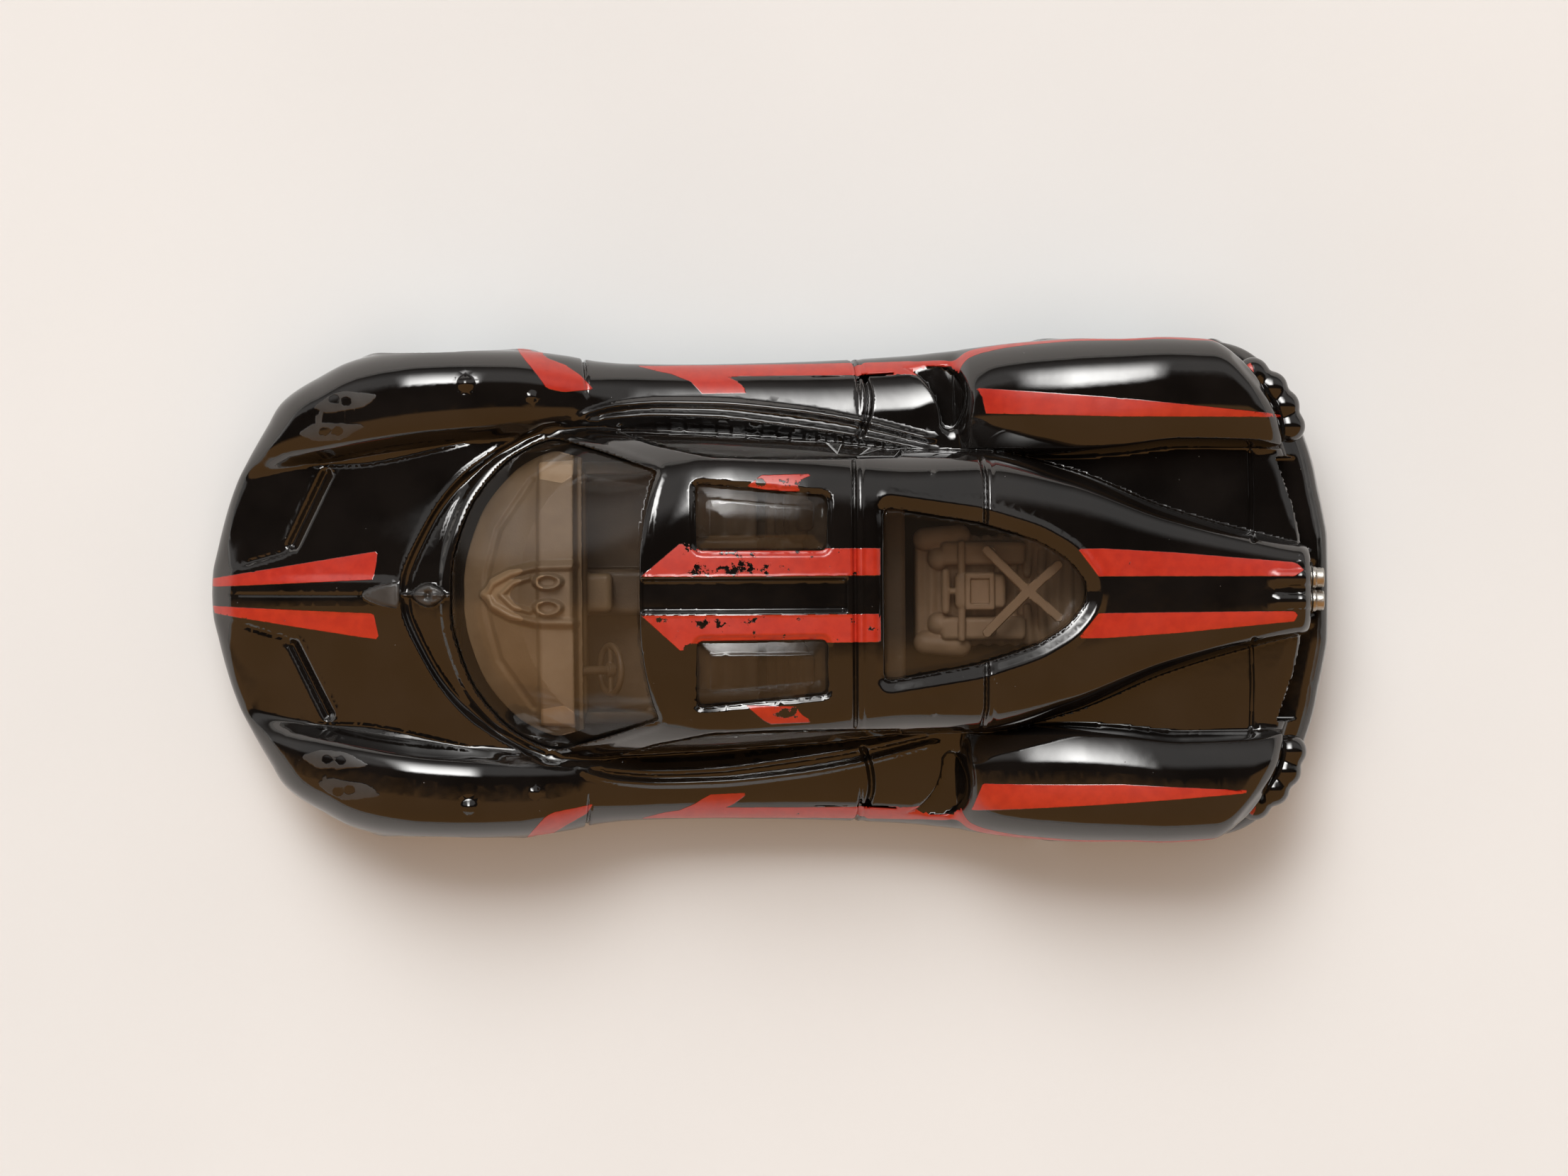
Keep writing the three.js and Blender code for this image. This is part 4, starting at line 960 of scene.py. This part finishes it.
def rod(x, y, z, start, end, r):
    """A round-ended bar."""
    axis = np.subtract(end, start)
    p = (x - start[0], y - start[1], z - start[2])
    t = np.clip(sum(v * a for v, a in zip(p, axis)) / (axis @ axis), 0, 1)
    return np.sqrt(sum((v - t * a) ** 2 for v, a in zip(p, axis))) - r


def union(*fields, k=0.2):
    made = fields[0]
    for field in fields[1:]:
        made = rmin(made, field, k)
    return made


# The instrument pod's edge on one side.
POD = [(-18.1, 0), (-17.6, 0.75), (-16.4, 1.4), (-14.8, 1.8), (-12.4, 1.85)]


def dash_top(x, a):
    """The height of the dashboard's top: a raised bar across it, and a pointed pod with two gauges."""
    top = np.minimum(base_z(x, a) - 2.3, 12.3 - 0.012 * a * a)
    h = top - 0.35 * smooth(-17.2, -15.2, x)
    h = h - 0.9 * smooth(-12.45, -12.15, x)
    h = h + 0.34 * smooth(0.35, 0.1, np.abs(x + 13.5) - 0.95) * smooth(8.6, 8.2, a)
    edge, _ = line_distance([(-15.1, 7.2), (-17.2, 4.1), (-17.9, 1.4), (-18, 0)], x, a)
    h = h - 0.18 * bump(edge, 0.35)
    pod, _ = line_distance(POD, x, a)
    within = outline_distance(mirror(POD), x, a)
    h = h + 0.55 * bump(pod, 0.42) + 0.3 * smooth(0.1, -0.3, within)
    inner, _ = line_distance([(-17, 0), (-16.2, 0.75), (-15.2, 1.05)], x, a)
    h = h + 0.3 * bump(inner, 0.3)
    gauge = np.hypot(0.55 * (x + 14), a - 0.82)
    h = h + 0.75 * smooth(0.62, 0.42, gauge) - 0.55 * smooth(0.4, 0.2, gauge)
    return h


def dashboard_field(x, a, z):
    shape = outline_distance(SCREEN, x, a) + 0.75
    f = np.maximum(np.maximum(z - dash_top(x, a), 8.9 - z), np.maximum(shape, x + 11.9))
    lower = block(x, a, z, (-12.6, 0, 8.4), (0.9, 7.9, 1.6), 0.4)
    console = block(x, a, z, (-12, 0, 7.4), (1.9, 1.25, 1.3), 0.4)
    return union(f, lower, console, k=0.3)


def tub_field(x, a, z):
    wide = 8.4 + 0.25 * smooth(0, -10, x)
    shell = block(x, a, z, (-2.9, 0, 6.3), (11.4, 8.4, 2.7), 0.9)
    tunnel = block(x, a, z, (-3, 0, 5), (11, 1.5, 1.9), 0.5)
    inside = np.maximum(block(x, a, z, (-3.1, 0, 8.2), (10.5, 7.6, 4), 0.8), -tunnel)
    f = np.maximum(np.maximum(shell, a - wide), -inside)
    bulkhead = block(x, a, z, (7.9, 0, 7.6), (0.7, 6.4, 3.5), 0.35)
    pads = block(x, a, z, (7.1, 3.6, 8.2), (0.5, 1.9, 1.9), 0.4)
    knob = rod(x, a, z, (-7, 0, 8.3), (-7, 0, 8.5), 0.5)
    lever = union(rod(x, a, z, (-6.6, 0, 6.5), (-7, 0, 8.2), 0.22), knob)
    brake = rod(x, a, z, (-4, 0.75, 6.9), (-1.6, 0.75, 7.7), 0.25)
    slots = block(x, a, z, (-2, 0, 6.95), (2.6, 0.5, 0.3), 0.15)
    doors = block(x, a, z, (-3, 7.8, 7.6), (5, 0.5, 0.55), 0.3)
    return np.maximum(union(f, bulkhead, pads, lever, brake, doors, k=0.25), -slots)


def seat_field(x, y, z):
    lean = 0.36 * np.maximum(z - 6.4, 0)
    cushion = block(x, y, z, (-2.9, 0, 5.4), (2.1, 1.6, 0.9), 0.5)
    back = block(x - lean, y, z, (0.3, 0, 8.2), (0.6, 1.7, 2.9), 0.5)
    head = block(x - lean, y, z, (0.45, 0, 11.2), (0.5, 1.0, 0.75), 0.4)
    bolster = block(x - lean, y, z, (-0.1, 1.9, 8.1), (0.9, 0.42, 2.5), 0.4)
    side = np.minimum(block(x, y, z, (-2.6, 1.9, 5.8), (2.3, 0.42, 1.1), 0.4), bolster)
    f = union(cushion, back, head, side, k=0.4)
    ribs = 0.1 * np.cos(np.clip(x + 2.9, -2, 2) * 4.2) * smooth(1.4, 1.1, y)
    ribs = ribs * smooth(5.6, 6.2, z) * smooth(-0.2, -1, x)
    rows = 0.1 * np.cos(z * 4.0) * smooth(1.4, 1.1, y) * smooth(6.4, 7, z) * smooth(10.6, 10, z)
    return f + ribs + rows


def steering_field(x, y, z):
    tilt = math.radians(62)
    along = x * math.cos(tilt) + z * math.sin(tilt)
    up = -x * math.sin(tilt) + z * math.cos(tilt)
    ring = np.hypot(np.hypot(y, along) - 1.55, up) - 0.2
    hub = np.maximum(np.hypot(y, along) - 0.45, np.abs(up) - 0.25)
    spoke = rod(y, along, up, (-1.5, 0, 0), (1.5, 0, 0), 0.16)
    spokes = np.minimum(spoke, rod(y, along, up, (0, -1.5, 0), (0, 0, 0), 0.16))
    column = rod(y, along, up, (0, 0, 0), (0, 0, 1.9), 0.28)
    return union(ring, hub, spokes, column, k=0.15)


def engine_field(x, a, z):
    deck = block(x, a, z, (14.4, 0, 6.6), (5.1, 3.5, 2.3), 0.5)
    head = block(x, a, z, (13.6, 2.4, 9.1), (2.7, 0.75, 0.8), 0.35)
    plenum = block(x, a, z, (13.4, 0, 9.5), (1.6, 1.1, 0.9), 0.3)
    frame_out = block(x, a, z, (13.35, 0, 10.3), (0.95, 1.2, 0.35), 0.15)
    frame_in = block(x, a, z, (13.35, 0, 10.3), (0.6, 0.8, 1), 0.1)
    frame_part = np.maximum(frame_out, -frame_in)
    cross = rod(x, a, z, (12.2, -3, 10.1), (12.2, 3, 10.1), 0.24)
    post = rod(x, a, z, (11.2, -1.2, 10), (11.2, 1.2, 10), 0.26)
    link = rod(x, a, z, (11.2, 0, 10), (12.2, 0, 10), 0.2)
    dome = np.hypot(np.hypot(x - 10.8, a - 2.1), z - 9.1) - 0.75
    tank = rod(x, a, z, (9.9, 3.3, 8.9), (12.1, 3.5, 8.9), 0.75)
    pipes = [rod(x, a, z, (px, 1.1, 9.2), (px + 0.2, 3, 8.6), 0.28) for px in (14.6, 15.5, 16.4, 17.3)]
    pipes = np.minimum.reduce(pipes)
    gearbox = block(x, a, z, (19.4, 0, 7.2), (0.8, 1.7, 1.5), 0.4)
    ribs = 0.08 * np.cos(x * 7)
    top = (head, plenum, frame_part, cross, post, link, dome, tank, pipes, gearbox)
    return union(deck + ribs, *top, k=0.18)


def brace_field(x, a, z):
    def bar(p, q):
        """A flat bar of even width between two points."""
        return np.maximum(rod(x, a, np.zeros_like(z), (*p, 0), (*q, 0), 0.3), np.abs(z - 11.6) - 0.3)

    centre = (16.35, 0)
    arms = np.minimum(bar(centre, (13.75, 2.6)), bar(centre, (18.25, 1.65)))
    boss = np.maximum(np.hypot(x - centre[0], a) - 0.5, np.abs(z - 11.45) - 0.38)
    legs = np.maximum(np.hypot(x - 14, a - 2.5) - 0.35, np.abs(z - 10) - 1.5)
    return union(arms, boss, legs, k=0.1)


FINE = 0.1
CABIN_PIECES = [
    ("dash_panel", dashboard_field, (-19.6, 0, 6), (-9.5, 9.4, 13.5), 40000, "dashboard", DASH),
    ("cabin_tub", tub_field, (-14.8, 0, 3.2), (9, 9, 11.6), 40000, "interior_tub", SHADED_CABIN),
    ("engine_detail", engine_field, (8.8, 0, 3.9), (20.8, 4.6, 11.2), 40000, "engine_block", CABIN),
    ("engine_x_brace", brace_field, (12.8, 0, 8), (19.4, 3.6, 12.2), 16000, "engine_cross_brace", CABIN),
]
for name, field, low, high, faces, node, nodes in CABIN_PIECES:
    attach(from_field(name, field, low, high, FINE * 1.2, faces), "chassis", nodes, node)
for side, name in ((1, "right"), (-1, "left")):
    seat = from_field(
        f"bucket_seat_{name}", seat_field, (-5.6, 0, 4.2), (3.2, 2.6, 12.4), FINE * 1.2, 14000,
        move=(0, side * 4.9, 0),
    )
    attach(seat, "chassis", SHADED_CABIN, f"seat_{name}")
wheel = from_field(
    "driver_steering_wheel", steering_field, (-2.6, -2.2, -2.4), (2.4, 2.2, 2.4), FINE, 9000,
    mirrored=False, move=(-10.2, -4.9, 9.3),
)
attach(wheel, "chassis", SHADED_CABIN, "steering_wheel")

# -------- wheels and axles


def rim_field(radius, width):
    w, r_rim = width / 2, radius - 1.35

    def field(x, y, z):
        r = np.hypot(x, z)
        angle = np.arctan2(z, x)
        barrel = np.maximum(np.abs(r - r_rim + 0.3) - 0.3 + 0.05, np.abs(y) - w + 0.35)
        lip = np.hypot(r - r_rim + 0.22, y - w + 0.4) - 0.26
        fold = np.abs((angle + math.pi / 10) % (math.pi / 5) - math.pi / 10)
        across = r * np.sin(fold)
        face = w - 0.55 - 0.75 * smooth(r_rim - 0.3, 1.2, r)
        twin = np.abs(across - 0.28 * smooth(1.2, r_rim, r)) - 0.15
        twin = twin - 0.05 * smooth(r_rim - 1.2, r_rim - 0.2, r)
        spokes = rmax(twin, np.abs(y - face + 0.35) - 0.35, 0.12)
        spokes = rmax(spokes, np.maximum(r - r_rim + 0.2, 0.9 - r), 0.1)
        hub = rmax(r - 1.25, np.abs(y - face + 0.5) - 0.55, 0.15)
        cap = np.hypot(r, 2.2 * (y - face - 0.02)) - 0.72
        core = np.maximum(r - 1.45, np.abs(y + 0.45) - w + 1.2)
        nut_fold = (angle % (2 * math.pi / 5)) - math.pi / 5
        nuts = np.hypot(r * np.sin(nut_fold), r * np.cos(nut_fold) - 0.98) - 0.13
        nuts = np.maximum(nuts, np.abs(y - face) - 0.14)
        disc = np.maximum(r - r_rim + 0.7, np.abs(y - w + 2.2) - 0.15)
        f = union(union(barrel, lip, spokes, k=0.12), union(hub, core, k=0.1), nuts, disc, k=0.06)
        return np.maximum(rmin(f, cap, 0.08), 0.56 - r + 9 * (y > w - 0.9))

    return field


def tyre_field(radius, width):
    w = width / 2

    def field(x, y, z):
        r = np.hypot(x, z)
        angle = np.arctan2(z, x)
        inner = radius - 1.27
        crown = radius - 0.02 * y * y
        f = rmax(rmax(r - crown, np.abs(y) - w + 0.1 * np.abs(r - radius + 0.75), 0.7), inner - r, 0.15)
        for gy in (0.0, 0.52 * w):
            f = rmax(f, -(np.hypot(r - crown, 1.4 * (np.abs(y) - gy)) - 0.17), 0.06)
        step = math.pi / 20
        slant = (angle + 0.06 * np.abs(y)) % step - step / 2
        sipe = np.maximum(np.abs(slant) * radius - 0.09, np.maximum(crown - 0.16 - r, 0.62 * w - np.abs(y)))
        f = rmax(f, -sipe, 0.05)
        rib = np.hypot(r - radius + 0.95, np.abs(y) - w + 0.02) - 0.12
        return rmin(f, rib, 0.1)

    return field


def axle_field(half):
    def field(x, a, z):
        r = np.hypot(x, z)
        shaft = np.maximum(r - 0.5, a - half + 0.1)
        head = rmax(r - 0.85, np.abs(a - half + 0.13) - 0.2, 0.25)
        knurl = np.maximum(np.abs(a - half + 1.6) - 0.5, r - 0.5 - 0.03 * np.cos(16 * np.arctan2(z, x)))
        return union(shaft, head, knurl, k=0.05)

    return field


WHEEL_STEP = 0.11
WHEEL_PARTS = [("rim", rim_field, "plating", PLATED, 26000), ("tyre", tyre_field, "tyre", TYRE, 24000)]
for end, width in (("front", 3.6), ("rear", 4.2)):
    wx, wz, _, out_y = WHEELS[end]
    reach = wz + 0.3
    for side, name in ((1, "right"), (-1, "left")):
        wheel_body = f"{end}_{name}_wheel"
        place = (wx, side * (out_y - width / 2), wz)
        low, high = (-reach, -width / 2 - 0.3, -reach), (reach, width / 2 + 0.3, reach)
        for part, make, slot, nodes, faces in WHEEL_PARTS:
            made = from_field(
                f"{wheel_body}_{part}", make(wz, width), low, high, WHEEL_STEP, faces,
                mirrored=False, move=place, flip=side,
            )
            attach(made, wheel_body, nodes, f"{end}_{name}_{part}")
    made = from_field(
        f"{end}_axle_wire", axle_field(out_y + 0.1), (-1, 0, -1), (1, out_y + 0.5, 1), FINE, 9000,
        move=(wx, 0, wz),
    )
    attach(made, f"{end}_axle", STEEL, f"{end}_axle")

# -------- base and exhaust


RIVETS = {"front": -28, "rear": 29.6}


def base_field(x, a, z):
    """The base: a flange and a tray, ribbed below, with fins at the tail and cradles for the axles."""
    outline = plan_distance(x, a, np.full_like(z, SILL_Z)) + 0.4
    flange = rmax(outline, rmax(z - 2.3, 1.5 - z, 0.15), 0.25)
    tray = rmax(outline + 1.2, rmax(z - 3.1, 1.9 - z, 0.1), 0.2)
    f = np.minimum(flange, tray)
    for wx, wz, arch, _ in WHEELS.values():
        f = rmax(f, -block(x, a, z, (wx, 14.3, 4), (arch + 0.4, 3.8, 5), 0.6), 0.15)
    panel = block(x, a, z, (0.5, 0, 1.4), (13.5, 7.4, 0.35), 0.2)
    f = rmax(f, -panel, 0.1)
    for y0 in (0.0, 3.4):
        f = rmin(f, block(x, a, z, (0.5, y0, 1.5), (13.3, 0.3, 0.3), 0.12), 0.08)
    for x0 in (-9, -3, 6, 11.5):
        f = rmin(f, block(x, a, z, (x0, 0, 1.6), (0.28, 7.2, 0.22), 0.1), 0.08)
    for y0 in (1.6, 4.5, 7.5):
        f = rmin(f, block(x, a, z, (32.4, y0, 1.4), (2, 0.25, 0.45), 0.15), 0.1)
    nose_vent = block(x, a, z, (-32.2, 4.6, 1.4), (0.9, 2.2, 0.3), 0.12)
    f = rmax(f, -nose_vent, 0.08)
    for x0 in RIVETS.values():
        f = rmax(f, -np.maximum(np.hypot(x - x0, a) - 2.45, z - 2.0), 0.1)
        f = rmax(f, -(np.hypot(x - x0, a) - 0.8), 0.1)
    for wx, wz, _, _ in WHEELS.values():
        middle, half = (2.2 + wz + 1.3) / 2, (wz + 1.3 - 2.2) / 2
        cradle = block(x, a, z, (wx, 9.25, middle), (1.7, 0.85, half), 0.3)
        gap = np.minimum(np.hypot(x - wx, z - wz) - 0.58, np.maximum(np.abs(x - wx) - 0.58, wz - z))
        f = np.minimum(f, rmax(cradle, -gap, 0.1))
    return f


BASE_STEP = 0.18
base = from_field("base_moulding", base_field, (-36.8, 0, 0.6), (36.8, 16.4, 7.3), BASE_STEP, 90000)
attach(base, "chassis", BASE, "base_plate")


def exhaust_field(x, a, z):
    low, high = (np.hypot(a - 0.73, z - pz) for pz in (9.45, 10.9))
    r = np.minimum(low, high)
    pipes = rmax(r - 0.62, np.maximum(x - 35.15, 32.3 - x), 0.12)
    pipes = rmax(pipes, -np.maximum(r - 0.38, 34.1 - x), 0.08)
    collar = np.maximum(np.abs(r - 0.6) - 0.1, np.abs(x - 34.5) - 0.12)
    block_part = block(x, a, z, (32.9, 0, 10.2), (0.6, 1.3, 1.3), 0.2)
    return union(pipes, collar, block_part, k=0.08)


exhaust = from_field("exhaust_cluster", exhaust_field, (32, 0, 8.5), (35.5, 1.8, 12), FINE * 0.8, 16000)
attach(exhaust, "chassis", SILVER, "exhaust_tips")


def rivet_field(x, a, z):
    r = np.hypot(x, a)
    dome = np.maximum(np.hypot(r, 2.6 * (z - 1.2)) - 2.05, z - 1.7)
    flare = np.hypot(r - 0.7, 1.6 * (z - 0.98)) - 0.22
    shank = rmax(r - 0.6, np.maximum(z - 6, 1.2 - z), 0.1)
    return rmax(union(dome, shank, k=0.15), -flare, 0.1)


for name, rx in RIVETS.items():
    made = from_field(
        f"{name}_rivet_head", rivet_field, (-2.4, 0, 0.2), (2.4, 2.4, 6.4), FINE, 7000, move=(rx, 0, 0)
    )
    attach(made, "chassis", STEEL, f"{name}_rivet")

# -------- floor, light and camera

FLOOR_HALF = 900
floor_corners = np.array([(-1, -1, 0), (1, -1, 0), (1, 1, 0), (-1, 1, 0)]) * FLOOR_HALF * MM
floor = mesh_object("studio_floor", floor_corners, np.array([[0, 1, 2, 3]]))
floor_nodes = Nodes("pale_floor", Roughness=0.7)
tone = floor_nodes.ramp(floor_nodes.noise(0.02, 3), 0.3, 0.7)
floor_nodes.link(floor_nodes.mix(tone, (0.64, 0.65, 0.655), (0.67, 0.68, 0.685)), "Base Color")
floor.data.materials.append(floor_nodes.material)

# A soft window of light beyond the car's right-hand side with a faint glow round it, a dim warm wall on
# the other side, and a pale horizon.
world = bpy.data.worlds.new("studio")
bpy.context.scene.world = world
world.use_nodes = True
sky = Tree(world.node_tree)
towards = sky.node("ShaderNodeTexCoord").outputs["Generated"]
across, side, height = sky.node("ShaderNodeSeparateXYZ", {0: towards}).outputs
lean = sky.maths("ARCTAN2", side, height)
window = sky.maths("MULTIPLY", sky.ramp(lean, 0.26, 0.42), sky.ramp(lean, 1.25, 0.4))
window = sky.maths("MULTIPLY", window, sky.ramp(across, -0.55, -0.2))
window = sky.maths("MULTIPLY", window, sky.ramp(across, 0.22, -0.12))
glow = sky.maths("MULTIPLY", sky.ramp(lean, 0.3, 0.6), sky.ramp(lean, 1.6, 1.0))
wall = sky.maths("MULTIPLY", sky.ramp(side, -0.02, -0.14), sky.ramp(height, 0.02, 0.1))
horizon = sky.ramp(height, 0.1, 0.03)
# Each light's shape, colour and strength.
LIGHTS = [
    (window, (1, 0.99, 0.97), 14.0), (glow, (1, 0.98, 0.96), 0.45), (wall, (1, 0.5, 0.17), 0.52),
    (horizon, (1, 0.96, 0.9), 0.7),
]
parts = []
for share, colour, strength in LIGHTS:
    scaled = {0: tuple(c * strength for c in colour), "Scale": share}
    parts.append(sky.node("ShaderNodeVectorMath", scaled, operation="SCALE").outputs[0])
light_sum = parts[0]
for part in parts[1:]:
    light_sum = sky.node("ShaderNodeVectorMath", {0: light_sum, 1: part}, operation="ADD").outputs[0]
background = sky.node("ShaderNodeBackground", {"Color": light_sum, "Strength": 1.0})
sky.tree.links.new(background.outputs[0], sky.node("ShaderNodeOutputWorld").inputs[0])

# An overhead fill that softens the shadows without showing in the gloss.
fill_light = bpy.data.lights.new("overhead_fill", "AREA")
fill_light.size = 0.5
fill_light.energy = 1.2
fill = bpy.data.objects.new("overhead_fill", fill_light)
bpy.context.scene.collection.objects.link(fill)
fill.location = (0, 0, 0.6)
fill.visible_glossy = False

# The photograph looks almost straight down: the lens in millimetres, the camera's distance from the point
# it aims at in metres, and its small tilt and roll.
LENS = 104.6
DISTANCE = 0.295
AIM = (0.9, 0.16, 5)
TILT = math.radians(1.27)
ROLL = math.radians(0.39)
camera_data = bpy.data.cameras.new("camera")
camera_data.lens = LENS
camera_data.sensor_width = 36
camera_data.clip_start = 0.01
camera = bpy.data.objects.new("camera", camera_data)
bpy.context.scene.collection.objects.link(camera)
back = Vector((0, math.sin(TILT), math.cos(TILT)))
right = Vector((math.cos(ROLL), -math.sin(ROLL), 0))
up = back.cross(right).normalized()
right = up.cross(back)
place = Matrix.Translation(Vector(AIM) * MM + back * DISTANCE)
camera.matrix_world = place @ Matrix((right, up, back)).transposed().to_4x4()
bpy.context.scene.camera = camera
bpy.context.scene.view_settings.view_transform = "Standard"
